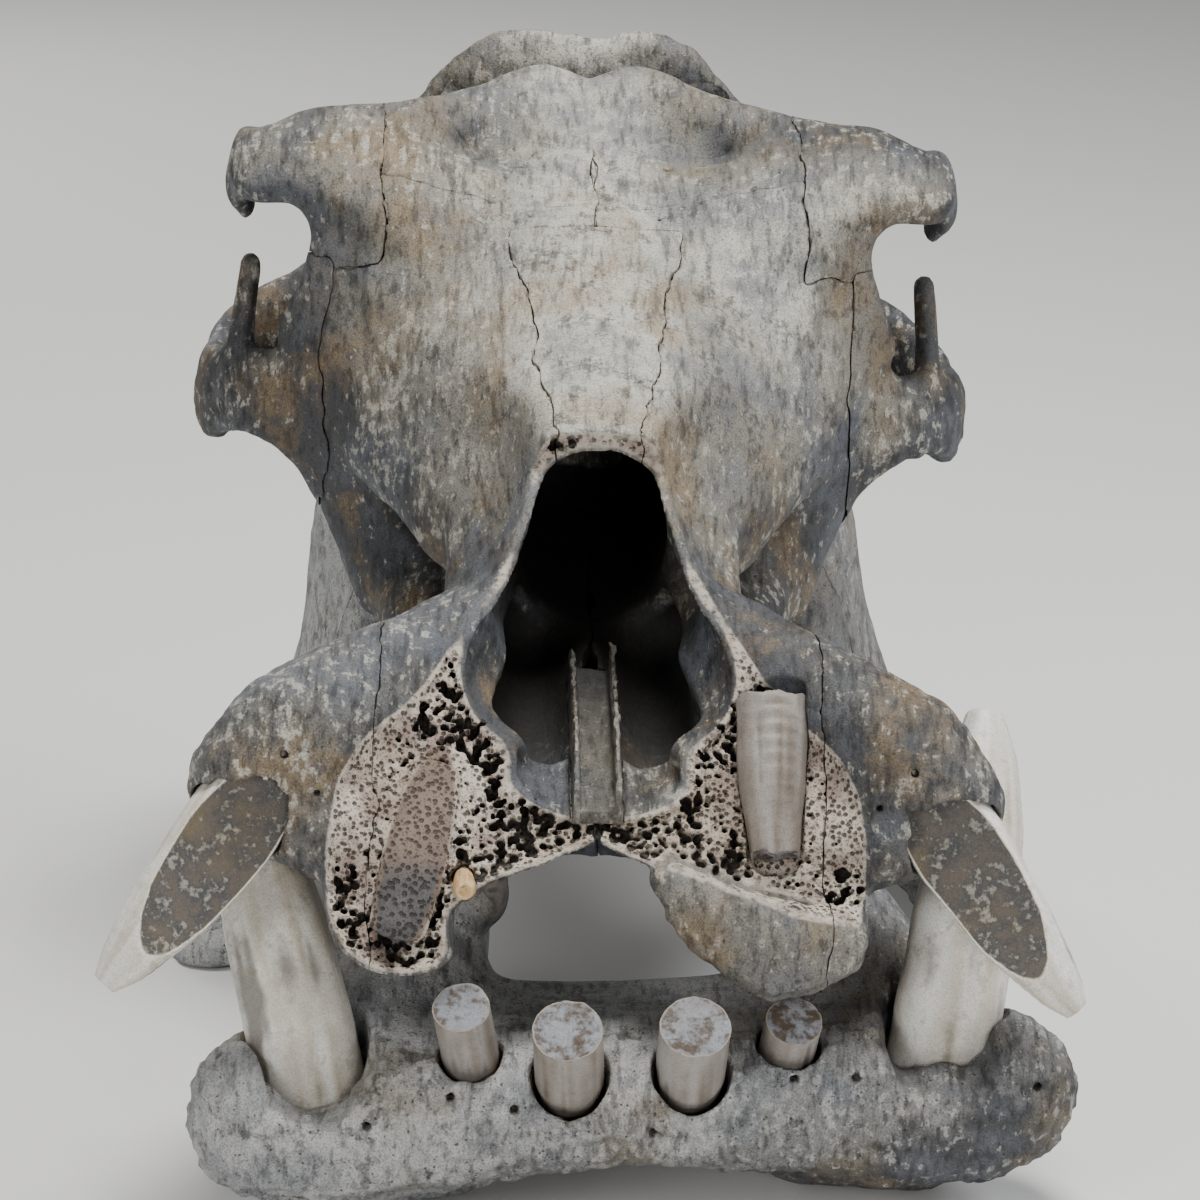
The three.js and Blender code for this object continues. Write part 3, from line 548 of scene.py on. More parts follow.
def crisp_surface(solid: Grid, knife: Grid, inset: float = 0.0) -> tuple[np.ndarray, np.ndarray]:
    """The surface of the part of a solid that lies inside a knife, with crisp edges where the two meet.

    Args:
        solid: The solid.
        knife: Negative where the solid stays, on the same nodes.
        inset: How far inside the knife the cut lies.

    Returns:
        The surface's points and its faces.
    """
    cut = solid.copy()
    cut.value = np.maximum(solid.value, knife.value + inset)
    points, faces = largest_body(*cut.surface())
    on_skin, on_cut = solid.sample(points), knife.sample(points) + inset
    limit = EDGE_REACH * solid.cell
    blunt = (np.abs(on_skin) < limit) & (np.abs(on_cut) < limit)
    blunt &= np.maximum(on_skin, on_cut) < -EDGE_DEPTH * solid.cell
    edge = points[blunt]
    for _ in range(3):
        for shape, shift in ((knife, inset), (solid, 0.0)):
            way = shape.slope(edge)
            steep = np.maximum(np.sum(way * way, axis=1), 0.05)
            edge = edge - way * ((shape.sample(edge) + shift) / steep)[:, None]
    moved = np.linalg.norm(edge - points[blunt], axis=1) < EDGE_STEP * solid.cell
    points[np.flatnonzero(blunt)[moved]] = edge[moved]
    return points, faces


def make_object(
    name: str,
    points: np.ndarray,
    faces: np.ndarray,
    material: bpy.types.Material,
    layers: dict[str, np.ndarray] | None = None,
    crease: float = 40.0,
) -> bpy.types.Object:
    """Makes a mesh object of points in metres.

    Args:
        name: The object's name.
        points: The points, one in a row.
        faces: The faces, as rows of three or four point numbers; a triangle may repeat its last point.
        material: The finish.
        layers: Named values for the points, which the finish reads.
        crease: Angle in degrees above which an edge stays sharp.

    Returns:
        The object, linked to the scene.
    """
    mesh = bpy.data.meshes.new(name)
    corners = faces.shape[1]
    mesh.vertices.add(len(points))
    mesh.vertices.foreach_set("co", points.astype(np.float32).ravel())
    mesh.loops.add(faces.size)
    mesh.loops.foreach_set("vertex_index", faces.astype(np.int32).ravel())
    mesh.polygons.add(len(faces))
    mesh.polygons.foreach_set("loop_start", np.arange(0, faces.size, corners, dtype=np.int32))
    mesh.polygons.foreach_set("use_smooth", np.ones(len(faces), bool))
    mesh.update(calc_edges=True)
    mesh.set_sharp_from_angle(angle=math.radians(crease))
    for layer, values in (layers or {}).items():
        mesh.attributes.new(layer, "FLOAT", "POINT").data.foreach_set("value", values.astype(np.float32))
    mesh.materials.append(material)
    piece = bpy.data.objects.new(name, mesh)
    bpy.context.scene.collection.objects.link(piece)
    return piece


def declare(piece: bpy.types.Object, slot: Slot, *nodes: str) -> None:
    """Seats a piece on the skull's body and hides the imported parts that it stands for."""
    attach(piece, "root")
    if nodes:
        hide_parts(*nodes)
    log.info("%s: %d faces", piece.name, len(piece.data.polygons))


# ---- the bones -----------------------------------------------------------------------------------


@dataclass
class Bone:
    """A sculpted bone that is cut along its sutures into pieces."""

    pose: Pose
    grid: Grid
    fine: tuple[Grid, ...]
    before: Grid
    # lightness: the bone's own colour mixed with painted light and shade
    tone: Callable[[np.ndarray, np.ndarray], np.ndarray]
    material: bpy.types.Material
    slot: Slot
    suture: Noise = field(default_factory=lambda: Noise(11))

    def __post_init__(self) -> None:
        """Keeps the bone as it is before it is cut into parts."""
        self.uncut = self.grid.copy()

    def block_on(self, grid: Grid, block: Block | None) -> Grid:
        """A block's distance over a grid, its faces wavy as a suture is."""
        twin = grid.copy()
        if block is None:
            twin.value[:] = -FAR
            return twin
        twin.value = block.distance(*twin.axes(twin.whole())).astype(np.float32)
        index, points = twin.near_surface(12)
        wave = 4.2 * self.suture.at(points, 34.0) + 2.2 * self.suture.at(points + 31, 12.0)
        twin.value[index] += wave + 0.9 * self.suture.at(points + 67, 5.0)
        return twin

    def part(self, name: str, block: Block | None, fine: Grid | None = None, margin: float = 14.0) -> None:
        """Cuts a named bone out of what is left and makes its piece.

        Args:
            name: The bone's name, as its node's.
            block: What parts it from the rest, or None for all that is left.
            fine: The fine grid that it is meshed on, or None for the coarse one.
            margin: How far past its node's box to look, in mm.
        """
        box = np.array(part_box(name), float)
        corners = np.stack(np.meshgrid(*box.T, indexing="ij"), axis=-1).reshape(-1, 3)
        local = self.pose.to_bone(corners)
        low, high = local.min(0) - margin, local.max(0) + margin
        for grid in (self.grid, *self.fine):
            window = grid.window(low, high)
            if window is None:
                continue
            solid = grid.copy(low, high)
            knife = self.block_on(solid, block)
            if grid is (self.grid if fine is None else fine):
                self.mesh(name, solid, knife)
            grid.value[window] = np.maximum(grid.value[window], GAP / 2 - knife.value)

    def pair(self, name: str, block: Block, fine: Grid | None = None) -> None:
        """Cuts the right and the left bone of a pair."""
        for side in Half:
            self.part(f"{name}_{side.label}", block.on(side), fine)

    def mesh(self, name: str, solid: Grid, knife: Grid) -> None:
        """Meshes the part of a solid that lies inside the knife."""
        points, faces = crisp_surface(solid, knife, GAP / 2)
        way = normalized(self.uncut.slope(points))
        near, far = (np.clip(1 - self.uncut.sample(points + way * h) / h, 0, 1) for h in (5.0, 16.0))
        # hollow and pit steer painted shade in hollows and on the walls of seams; the passage layer is
        # painted shade; tone mixes the bone's colour with painted light
        layers = {
            "core": smoothstep(0.7, 3.0, -self.before.sample(points)) * (1 - kept_skin(points)),
            "hollow": 0.5 * near + 0.5 * far,
            "pit": smoothstep(0.5, 3.5, -self.uncut.sample(points)),
            "deep": self.deep(points, way),
            "tone": self.tone(points, way),
        }
        piece = make_object(f"{name}_bone", self.pose.to_world(points), faces, self.material, layers)
        declare(piece, self.slot, name)

    @staticmethod
    def deep(points: np.ndarray, way: np.ndarray) -> np.ndarray:
        """Painted shade on the walls of the nasal passage: black well behind the break."""
        x, y, z = points.T
        floor, roof = PASSAGE_HEIGHTS
        inward = normalized(np.stack([-x, 0 * x, PASSAGE_MIDDLE - z], axis=1))
        facing = smoothstep(-0.15, 0.25, np.sum(way * inward, axis=1))
        behind = smoothstep(*PASSAGE_SHADE_SPAN, Fracture().distance(np.abs(x), y, z))
        return facing * behind * (np.abs(x) < PASSAGE_HALF) * (z > floor) * (z < roof) * (y < PASSAGE_END)


def roughen(grid: Grid, noise: Noise, rugged: Callable[[np.ndarray], np.ndarray] | None = None) -> None:
    """Gives a bone's skin its undulation and grain.

    Args:
        grid: The bone.
        noise: The noise to use.
        rugged: How much rougher the skin is at points, from 0 to 1.
    """
    index, points = grid.near_surface(5.0)
    points = points.astype(np.float32)
    value = 1.0 * noise.at(points, 46.0) + 0.55 * noise.at(points + 17, 19.0)
    value = value + 0.28 * noise.at(points + 41, 8.0)
    if rugged is not None:
        rough = rugged(points)
        some = rough > 0.02
        lumps = 2.6 * np.abs(noise.at(points[some] + 71, 14.0)) + 1.5 * noise.at(points[some] + 97, 6.5)
        value[some] += rough[some] * (lumps + 1.0 * noise.at(points[some] + 59, 4.0) - 0.6)
    grid.value[index] += value


def kept_skin(points: np.ndarray) -> np.ndarray:
    """Where the front of the left premaxilla kept its skin below the break, from 0 to 1."""
    x, y, z = points.T
    return smoothstep(3, -2, z - 196 + 0.26 * x) * smoothstep(24, 34, x) * smoothstep(90, 70, y)


@dataclass(frozen=True)
class Pores:
    """Cavities of spongy bone, opened by a break: large ones inside the rind, small ones deeper. In mm."""

    spacing: float = 4.1
    large: tuple[float, float] = (1.25, 2.6)
    small: tuple[float, float] = (0.7, 1.7)
    band: float = 15.0
    depth: float = 6.0
    rind: float = 2.8
    low: Triple = (-136, 10, 118)
    high: Triple = (136, 300, 360)
    seed: int = 5

    def carve(self, grid: Grid, before: Grid, fracture: Fracture) -> int:
        """Cuts the pores behind a break.

        Args:
            grid: The bone.
            before: The bone before it broke.
            fracture: The break.

        Returns:
            How many pores were cut.
        """
        random = np.random.RandomState(self.seed)
        steps = [np.arange(a, b, self.spacing) for a, b in zip(self.low, self.high)]
        centres = np.stack(np.meshgrid(*steps, indexing="ij"), axis=-1).reshape(-1, 3)
        centres += random.uniform(-0.42, 0.42, centres.shape) * self.spacing
        size, luck = random.uniform(0, 1, (2, len(centres)))
        inner = -before.sample(centres)
        cluster = Noise(self.seed).at(centres, 17.0)
        x, y, z = centres.T
        gap = fracture.distance(np.abs(x), y, z) - fracture.recess
        keep = (np.abs(gap) < 0.6 * self.spacing) & (inner > self.rind) & (kept_skin(centres) < 0.5)
        keep &= np.abs(grid.sample(centres)) < 4.5
        outer = inner < self.band
        keep &= outer | (luck < 0.62 + 0.5 * cluster)
        for n in np.flatnonzero(keep):
            small, large = self.large if outer[n] or cluster[n] > 0.34 else self.small
            radius = small + (large - small) * size[n] ** 1.4
            h = max(centres[n, 2] - fracture.z, 0)
            way = normalized(np.array([0, 1.0, -(fracture.slope + 2 * fracture.bend * h)]))
            depth = self.depth * (0.5 + 0.6 * size[n])
            self.pit(grid, centres[n] + way * 0.3 * self.depth, way, radius, depth)
        return int(keep.sum())

    @staticmethod
    def pit(grid: Grid, centre: np.ndarray, way: np.ndarray, r: float, depth: float) -> None:
        """Cuts one long pit that runs along way."""
        reach = np.abs(way) * depth + r + grid.cell
        window = grid.window(centre - reach, centre + reach)
        if window is None:
            return
        offset = [axis - float(c) for axis, c in zip(grid.axes(window), centre)]
        along = sum(o * float(w) for o, w in zip(offset, way))
        across = sum(o * o for o in offset) - along * along
        q = np.sqrt(np.maximum(across, 0) / (r * r) + (along / depth) ** 2)
        grid.value[window] = np.maximum(grid.value[window], (1 - q) * r)


def drill(grid: Grid, start: Triple, way: Triple, radius: float, depth: float) -> None:
    """Sinks a small round hole where a ray meets the bone.

    Args:
        grid: The bone.
        start: Where the ray starts, outside the bone.
        way: Where it goes.
        radius: The hole's radius.
        depth: The hole's depth.
    """
    line = normalized(np.array(way, float))
    marks = np.array(start, float) + np.arange(0, 140, 1.0)[:, None] * line
    inside = np.flatnonzero(grid.sample(marks) < 0)
    if len(inside):
        Pores.pit(grid, marks[inside[0]], line, radius, depth)


@dataclass
class Sculpture:
    """A grid with the two tools that draw a bone on it."""

    grid: Grid

    def add(self, shape: Shape, width: float = 12.0) -> None:
        """Joins a shape, rounding the meeting."""
        shape.draw(self.grid, width, 1)

    def cut(self, shape: Shape, width: float = 5.0) -> None:
        """Cuts a shape away."""
        shape.draw(self.grid, width, -1)


@dataclass(frozen=True)
class ToothShape:
    """A tooth's path on the animal's left side, with stations as a limb has them."""

    stations: tuple[Station, ...]
    flat: Triple = SIDE

    def on(self, side: Half) -> ToothShape:
        """The tooth on one side of the skull."""
        if side is Half.LEFT:
            return self
        stations = tuple((-s[0], *s[1:]) for s in self.stations)
        return ToothShape(stations, (-self.flat[0], self.flat[1], self.flat[2]))

    def socket(self, room: float, shift: Triple = (0.0, 0.0, 0.0)) -> Limb:
        """The hollow that the tooth stands in.

        Args:
            room: Space round the tooth.
            shift: How far the hollow's middle lies from the tooth's.

        Returns:
            The hollow's shape.
        """
        stations = [
            (x + shift[0], y + shift[1], z + shift[2], wide + room, thick + room)
            for x, y, z, wide, thick in self.stations
        ]
        return Limb(stations, self.flat, 2.0, 6)


UPPER_CANINE = ToothShape(
    (
        (140, 110, 236, 20, 20),
        (156, 84, 216, 24, 23),
        (176, 62, 192, 25, 23),
        (200, 46, 162, 22, 19),
        (222, 36, 136, 15, 11),
        (232, 32, 124, 7, 5),
    ),
    (0.6, -0.5, 0.6),
)
LOWER_CANINE = ToothShape(
    (
        (148, 100, 22, 19, 24),
        (151, 76, 56, 21, 26),
        (158, 74, 93, 22, 27),
        (168, 94, 136, 20, 26),
        (177, 120, 172, 18, 22),
        (182, 144, 196, 14, 17),
        (185, 164, 215, 8, 9),
    )
)
INNER_INCISOR = ToothShape(((29, 58, 58, 12, 12), (29, 26, 88, 17, 17), (30, 2, 121, 17, 17)))
OUTER_INCISOR = ToothShape(((74, 66, 66, 10, 10), (76, 42, 92, 14, 14), (80, 20, 127, 14, 14)))
SHORT_INCISOR = ToothShape(((74, 66, 64, 10, 10), (76, 46, 86, 14, 14), (79, 30, 110, 14, 14)))
INCISOR_ROOT = ToothShape(((86, 62, 186, 12, 9), (84, 82, 218, 16, 11), (84, 110, 250, 18, 11)), BACK)
PEG = ToothShape(((63, 66, 172, 4, 4), (63, 37, 176.5, 6, 6), (63, 31, 177.5, 5, 5), (63, 28, 178, 2, 2)))


@dataclass(frozen=True)
class Plate:
    """A flat plate between two values of x, with an outline of y and z."""

    outline: tuple[tuple[float, float], ...]
    x: tuple[float, float]
    room: float = 0.0

    def draw(self, grid: Grid, width: float, sign: int) -> None:
        """Joins the plate to a grid, or with sign -1 cuts it."""
        corners = np.array(self.outline, float)
        reach = self.room + width + 2 * grid.cell
        low = np.array([self.x[0], *corners.min(0)]) - reach
        high = np.array([self.x[1], *corners.max(0)]) + reach
        window = grid.window(low, high)
        if window is None:
            return
        x, y, z = grid.axes(window)
        nearest = np.full(np.broadcast(y, z).shape, 1e9)
        inside = np.zeros(nearest.shape, bool)
        for (ya, za), (yb, zb) in zip(corners, np.roll(corners, -1, axis=0)):
            t = ((y - ya) * (yb - ya) + (z - za) * (zb - za)) / ((yb - ya) ** 2 + (zb - za) ** 2)
            t = np.clip(t, 0, 1)
            nearest = np.minimum(nearest, np.hypot(y - ya - t * (yb - ya), z - za - t * (zb - za)))
            crosses = (za > z) != (zb > z)
            if za != zb:
                inside ^= crosses & (y < ya + (z - za) * (yb - ya) / (zb - za))
        outline = np.where(inside, -nearest, nearest)
        slab = np.maximum(self.x[0] - x, x - self.x[1])
        distance = np.maximum(outline, slab) - self.room
        grid.blend(window, distance.astype(np.float32), width, sign)


@dataclass(frozen=True)
class Vomer:
    """The trough of two thin plates on the floor of the nose. Lengths in mm."""

    pose: Pose
    side_view: tuple[tuple[float, float], ...] = ((68, 198), (205, 224), (205, 246), (120, 234), (68, 216))
    strip: tuple[tuple[float, float], ...] = ((68, 198), (205, 224), (205, 231), (68, 205))
    half: float = 12.0
    wall: float = 4.0
    cell: float = 1.1

    def plates(self, room: float = 0.0) -> tuple[Plate, ...]:
        """The strip and the two upright plates, or with room the slot that they stand in."""
        inner = self.half - self.wall
        return (
            Plate(self.strip, (-self.half, self.half), room),
            Plate(self.side_view, (inner, self.half), room),
            Plate(self.side_view, (-self.half, -inner), room),
        )

    def build(self, material: bpy.types.Material) -> None:
        """Makes the vomer, its free edges broken into spongy bone."""
        grid = Grid((-18, 60, 190), (18, 214, 254), self.cell)
        for plate in self.plates(-0.4):
            plate.draw(grid, 2.0, 1)
        before, noise = grid.copy(), Noise(21)
        index, points = grid.near_surface(4.0)
        edge = smoothstep(0.10, 0.16, (points[:, 2] - 206 - 0.16 * (points[:, 1] - 68)) / 100)
        grid.value[index] += 0.45 * noise.at(points, 7.0) + edge * (1.6 * noise.at(points, 4.0) + 1.0)
        points, faces = largest_body(*grid.surface())
        way = normalized(grid.slope(points))
        # painted shade all over the vomer, darker towards the back of the passage, and slight painted light
        # on faces that look up
        layers = {
            "core": smoothstep(0.5, 1.6, -before.sample(points)),
            "hollow": np.full(len(points), 0.62),
            "pit": np.zeros(len(points)),
            "deep": smoothstep(110, 190, points[:, 1]) * 0.6 + 0.15,
            "tone": 0.3 + 0.1 * way[:, 2],
        }
        piece = make_object("vomer_bone", self.pose.to_world(points), faces, material, layers)
        declare(piece, Slot.CRANIUM, "vomer")


@dataclass
class Cranium:
    """The upper skull, drawn on the animal's left side. Lengths in mm, y back from the chin, z up."""

    pose: Pose = Pose(3, 70, 300, 1.9, 2.5)
    fracture: Fracture = Fracture()
    pores: Pores = Pores()
    cheek_teeth: int = 6
    snout: Limb = Limb(
        (
            (0, 50, 206, 104, 48),
            (0, 125, 232, 92, 58),
            (0, 200, 266, 76, 66),
            (0, 270, 292, 74, 72),
            (0, 340, 306, 80, 78),
            (0, 410, 326, 82, 82),
        ),
        UP,
        2.6,
    )
    roof: Limb = Limb(
        (
            (0, 226, 320, 34, 20),
            (0, 300, 348, 48, 22),
            (0, 370, 374, 86, 24),
            (0, 430, 392, 100, 26),
            (0, 490, 412, 84, 26),
            (0, 552, 432, 62, 24),
        ),
        ROOF,
    )
    braincase: Limb = Limb(((0, 420, 340, 72, 76), (0, 490, 356, 66, 78), (0, 548, 366, 80, 70)), UP, 2.3)
    ear_region: Blob = Blob((84, 566, 350), (46, 34, 56))
    temple_ridge: Limb = Limb(
        ((140, 452, 440, 16, 12), (104, 472, 446, 18, 13), (62, 512, 446, 20, 14), (22, 560, 450, 20, 14)),
        (-0.3, 0, 0.95),
    )
    cheek: Limb = Limb(
        ((66, 290, 300, 36, 20), (98, 350, 322, 44, 22), (128, 398, 350, 40, 18)), (0.7, -0.6, 0.3)
    )
    buttress: Limb = Limb(
        ((150, 410, 304, 32, 15), (124, 392, 272, 30, 15), (101, 356, 228, 30, 15)), (0.75, -0.65, 0)
    )
    brow: Limb = Limb(
        ((62, 424, 402, 42, 24), (110, 428, 424, 40, 22), (150, 432, 436, 36, 19), (178, 436, 431, 30, 15)),
        (0.1, -0.3, 0.95),
    )
    orbit_rim: Limb = Limb(
        ((132, 402, 418, 16, 9), (137, 400, 385, 16, 9), (148, 408, 345, 20, 12)), (0.5, -0.8, 0)
    )
    arch: Limb = Limb(
        (
            (128, 398, 306, 30, 16),
            (172, 418, 306, 26, 16),
            (199, 452, 300, 25, 11),
            (201, 500, 294, 25, 10),
            (192, 545, 300, 24, 11),
            (160, 574, 312, 26, 14),
            (116, 584, 322, 30, 18),
        ),
        ((0.3, -0.9, 0.2), (0.5, -0.8, 0.2), (1, -0.2, 0), SIDE, (1, 0.3, 0), (0.6, 0.8, 0), (0.2, 1, 0)),
        2.4,
    )
    jaw_joint: Limb = Limb(((112, 560, 300, 30, 18), (150, 560, 302, 26, 14)), UP)
    under_arch: Blob = Blob((178, 422, 266), (36, 30, 22), (0, 15, 0))
    orbit: Blob = Blob((182, 446, 382), (60, 36, 36), (0, 12, -10))
    temple: Blob = Blob((136, 502, 350), (44, 46, 72))
    brow_process: Limb = Limb(((186, 440, 432, 24, 9), (191, 449, 418, 17, 7), (186, 455, 404, 9, 5)), SIDE)
    arch_spike: Limb = Limb(((188, 436, 312, 16, 8), (186, 446, 346, 11, 6), (183, 452, 373, 6, 5)), SIDE)
    nape_crest: Limb = Limb(
        (
            (0, 602, 446, 26, 11),
            (34, 602, 453, 26, 11),
            (60, 602, 434, 28, 11),
            (86, 598, 394, 30, 11),
            (112, 594, 356, 30, 12),
            (120, 590, 312, 28, 13),
        ),
        (BACK, BACK, (0.2, 1, 0.1), (0.4, 1, 0), (0.5, 1, 0), (0.5, 1, 0)),
    )
    crest_hollow: Limb = Limb(((0, 577, 478, 12, 12), (40, 576, 474, 12, 12), (70, 574, 452, 10, 10)), UP)
    back_plate: Limb = Limb(((0, 606, 400, 70, 18), (0, 612, 320, 86, 24)), BACK)
    condyle: Blob = Blob((36, 634, 296), (27, 24, 30))
    foramen: Blob = Blob((0, 646, 322), (19, 40, 21))
    nape_process: Limb = Limb(((104, 600, 300, 22, 12), (98, 602, 258, 12, 8)), BACK)
    keel: Limb = Limb(((0, 420, 268, 52, 26), (0, 520, 276, 44, 26), (0, 600, 292, 42, 22)), UP)
    ear_bulb: Blob = Blob((58, 560, 266), (20, 30, 20))
    throat_blade: Limb = Limb(((52, 410, 244, 26, 9), (46, 462, 234, 32, 8), (44, 500, 262, 24, 8)), SIDE)
    palate: Limb = Limb(
        ((46, 60, 182, 36, 22), (44, 160, 194, 30, 22), (56, 280, 214, 40, 24), (60, 380, 230, 46, 24)), UP
    )
    tooth_ridge: Limb = Limb(
        ((62, 130, 190, 26, 20), (70, 220, 200, 26, 22), (80, 320, 214, 28, 24), (84, 384, 230, 28, 24)), SIDE
    )
    snout_front: Limb = Limb(
        ((92, 40, 170, 38, 36), (92, 96, 206, 38, 44), (84, 150, 226, 26, 44)), SIDE, 2.2
    )
    snout_slope: Limb = Limb(
        (
            (150, 100, 330, 98, 98),
            (138, 140, 342, 98, 98),
            (127, 190, 356, 98, 98),
            (130, 214, 366, 96, 96),
            (150, 245, 392, 60, 60),
            (165, 262, 410, 30, 30),
        ),
        UP,
    )
    nasal_passage: Limb = Limb(
        (
            (0, -20, 262, 60, 50),
            (0, 60, 262, 54, 48),
            (0, 140, 274, 46, 50),
            (0, 190, 284, 36, 54),
            (0, 220, 290, 34, 52),
            (0, 330, 298, 46, 46),
            (0, 400, 290, 40, 36),
        ),
        UP,
        2.6,
    )
    passage_corner: Limb = Limb(
        ((40, 60, 254, 24, 25), (44, 140, 260, 21, 21), (36, 190, 274, 18, 20), (32, 230, 288, 16, 18)), UP
    )
    passage_mouth: Limb = Limb(((0, 20, 212, 34, 12), (0, 96, 218, 40, 14)), UP)
    passage_gutter: Limb = Limb(((30, 130, 222, 24, 22), (30, 230, 244, 22, 22)), UP)
    throat: Limb = Limb(((0, 432, 212, 30, 12), (0, 490, 218, 30, 16)), UP)
    lip_gap: Limb = Limb(((27, -10, 151, 43, 28), (27, 80, 151, 36, 28)), (0.3, 0, 0.95), 4)
    lip_peak: Limb = Limb(((2, -10, 176, 24, 16), (2, 80, 172, 20, 14)), (0.54, 0, 0.84), 4)
    lost_tooth_bed: Limb = Limb(
        ((90, 30, 166, 17, 9), (87, 76, 216, 18, 9), (84, 106, 248, 13, 7)), (0, 0.8, -0.6)
    )
    tooth_bed: Limb = Limb(
        ((-78, 84, 216, 13, 6), (-86, 58, 186, 16, 7), (-94, 34, 156, 14, 6)), (0, -0.8, 0.6)
    )
    canine_boss: Limb = Limb(
        ((80, 178, 240, 42, 28), (112, 138, 234, 40, 32), (146, 98, 224, 38, 36), (164, 82, 208, 32, 33)),
        (0.6, 0.3, 0.6),
    )
    boss_underside: Limb = Limb(((104, 104, 198, 32, 20), (138, 76, 190, 24, 22)), UP)
    left_lobe: Limb = Limb(
        ((36, 46, 178, 10, 10), (58, 40, 162, 20, 17), (88, 36, 150, 27, 20), (114, 42, 152, 18, 17)),
        (0, 0.9, 0.4),
    )
    brow_vessels: tuple[tuple[float, float], ...] = ((34, 372), (48, 392), (61, 410), (40, 430))
    cheek_vessels: tuple[tuple[float, float], ...] = (
        (150, 262),
        (232, 258),
        (255, 250),
        (278, 262),
        (300, 244),
    )
    whole_window: tuple[Triple, Triple, float] = ((0, -10, 90), (235, 690, 505), COARSE)
    front_window: tuple[Triple, Triple, float] = ((0, 4, 108), (212, 262, 366), FINE)
    nose_window: tuple[Triple, Triple, float] = ((0, 200, 284), (46, 412, 424), FINE)

    def sculpt(self, low: Triple, high: Triple, cell: float) -> tuple[Grid, Grid]:
        """Draws the whole cranium.

        Args:
            low: Lowest corner of the grid, with x at 0.
            high: Highest corner.
            cell: The grid's spacing.

        Returns:
            The cranium as it is, and as it was before the snout broke.
        """
        bone = Sculpture(Grid(low, high, cell))
        bone.add(self.snout)
        bone.add(self.roof, 22)
        bone.add(self.braincase, 24)
        bone.add(self.ear_region, 24)
        bone.add(self.temple_ridge, 18)
        bone.add(self.cheek, 26)
        bone.add(self.buttress, 16)
        bone.add(self.brow, 20)
        bone.add(self.orbit_rim, 12)
        bone.add(self.arch, 14)
        bone.add(self.jaw_joint, 14)
        bone.cut(self.under_arch, 8)
        bone.cut(self.orbit, 8)
        bone.cut(self.temple, 10)
        bone.add(self.brow_process, 5)
        bone.add(self.arch_spike, 5)
        bone.add(self.nape_crest, 12)
        bone.cut(self.crest_hollow, 6)
        bone.add(self.back_plate, 16)
        bone.add(self.condyle, 10)
        bone.cut(self.foramen, 6)
        bone.add(self.nape_process, 10)
        bone.add(self.keel, 16)
        bone.add(self.ear_bulb, 8)
        bone.add(self.throat_blade, 10)
        bone.add(self.palate, 16)
        bone.add(self.tooth_ridge, 14)
        for n in range(self.cheek_teeth):
            bone.add(Blob((64 + 4 * n, 150 + 46 * n, 180 + 8.6 * n), (14 + 1.2 * n, 19 + 0.8 * n, 15)), 6)
        bone.add(self.snout_front, 14)
        bone.cut(self.snout_slope, 10)
        bone.cut(self.nasal_passage, 6)
        bone.cut(self.passage_corner, 8)
        bone.cut(self.passage_mouth, 8)
        bone.cut(self.passage_gutter, 8)
        bone.cut(self.throat, 6)
        bone.cut(self.lip_gap, 6)
        bone.cut(self.lip_peak, 5)
        before = bone.grid.mirrored()
        bone.cut(self.fracture, 1.2)
        bone.cut(self.lost_tooth_bed, 3)
        bone.add(self.canine_boss, 16)
        bone.add(self.boss_underside, 14)
        whole = Sculpture(bone.grid.mirrored())
        whole.add(self.left_lobe, 10)
        return whole.grid, before

    def rugged(self, points: np.ndarray) -> np.ndarray:
        """How rough the skin is: most on the lobe, the canine bosses and the crest of the nape."""
        x, y, z = np.abs(points[:, 0]), points[:, 1], points[:, 2]
        boss = smoothstep(104, 140, x) * smoothstep(150, 90, y) * 0.55
        crest = smoothstep(585, 612, y) * smoothstep(330, 400, z) * 0.5
        arch = smoothstep(150, 185, x) * smoothstep(380, 420, y) * smoothstep(330, 280, z) * 0.45
        lobe = 0.7 * kept_skin(points)
        return np.maximum.reduce([boss, crest, arch, lobe]).astype(np.float32)

    def tone(self, points: np.ndarray, way: np.ndarray) -> np.ndarray:
        """How light the bone is: its own cream and grey, with painted light from above and painted shade
        below.
        """
        x, y, z = points.T
        up = way[:, 2] * 0.94 - way[:, 1] * 0.34
        # painted light: faces that look up are lighter, most along the roof's middle, as if lit from above
        top = smoothstep(-0.05, 0.8, up) * (0.3 + 0.7 * smoothstep(170, 280, y)) * smoothstep(250, 330, z)
        middle = np.exp(-((x / 42) ** 2)) * smoothstep(150, 260, y)
        # painted light and shade on the sides: lighter on the left cheek, darker low on the sides and on the
        # brows
        left = smoothstep(20, 90, x) * smoothstep(250, 330, y) * smoothstep(440, 380, y) * 0.25
        lower = smoothstep(385, 300, z) * smoothstep(50, 120, np.abs(x)) * smoothstep(230, 300, y) * 0.25
        brow = 0.3 * smoothstep(80, 130, x) * smoothstep(385, 425, y)
        brow = brow + 0.2 * smoothstep(-120, -160, x) * smoothstep(380, 420, y)
        # painted highlight along the middle of the nose; below it the snout's lower sides get painted shade
        nose = 0.45 * np.exp(-((x / 24) ** 2)) * smoothstep(320, 250, y) * smoothstep(300, 320, z)
        cheek = 0.2 * smoothstep(300, 260, z) * smoothstep(60, 130, np.abs(x)) * smoothstep(140, 200, y)
        lobe = 0.3 * kept_skin(points)
        back = 0.16 * smoothstep(400, 450, y) * smoothstep(300, 340, z)
        # painted fill light on the back of the skull, where no lamp reaches
        painted_rear_fill = 0.34 * smoothstep(455, 540, y) * smoothstep(0.7, 0.2, top)
        light = 0.13 + top * (0.36 + 0.5 * middle) + left - lower - brow + nose - cheek + lobe - back + painted_rear_fill
        bed = np.hypot((x + 87 - (z - 184) * 0.25) / 16, (z - 184) / 46)
        stain = smoothstep(1.1, 0.75, bed) * smoothstep(110, 95, y) * (1 + 0.8 * smoothstep(195, 165, z))
        return np.clip(light, 0, 1) - stain

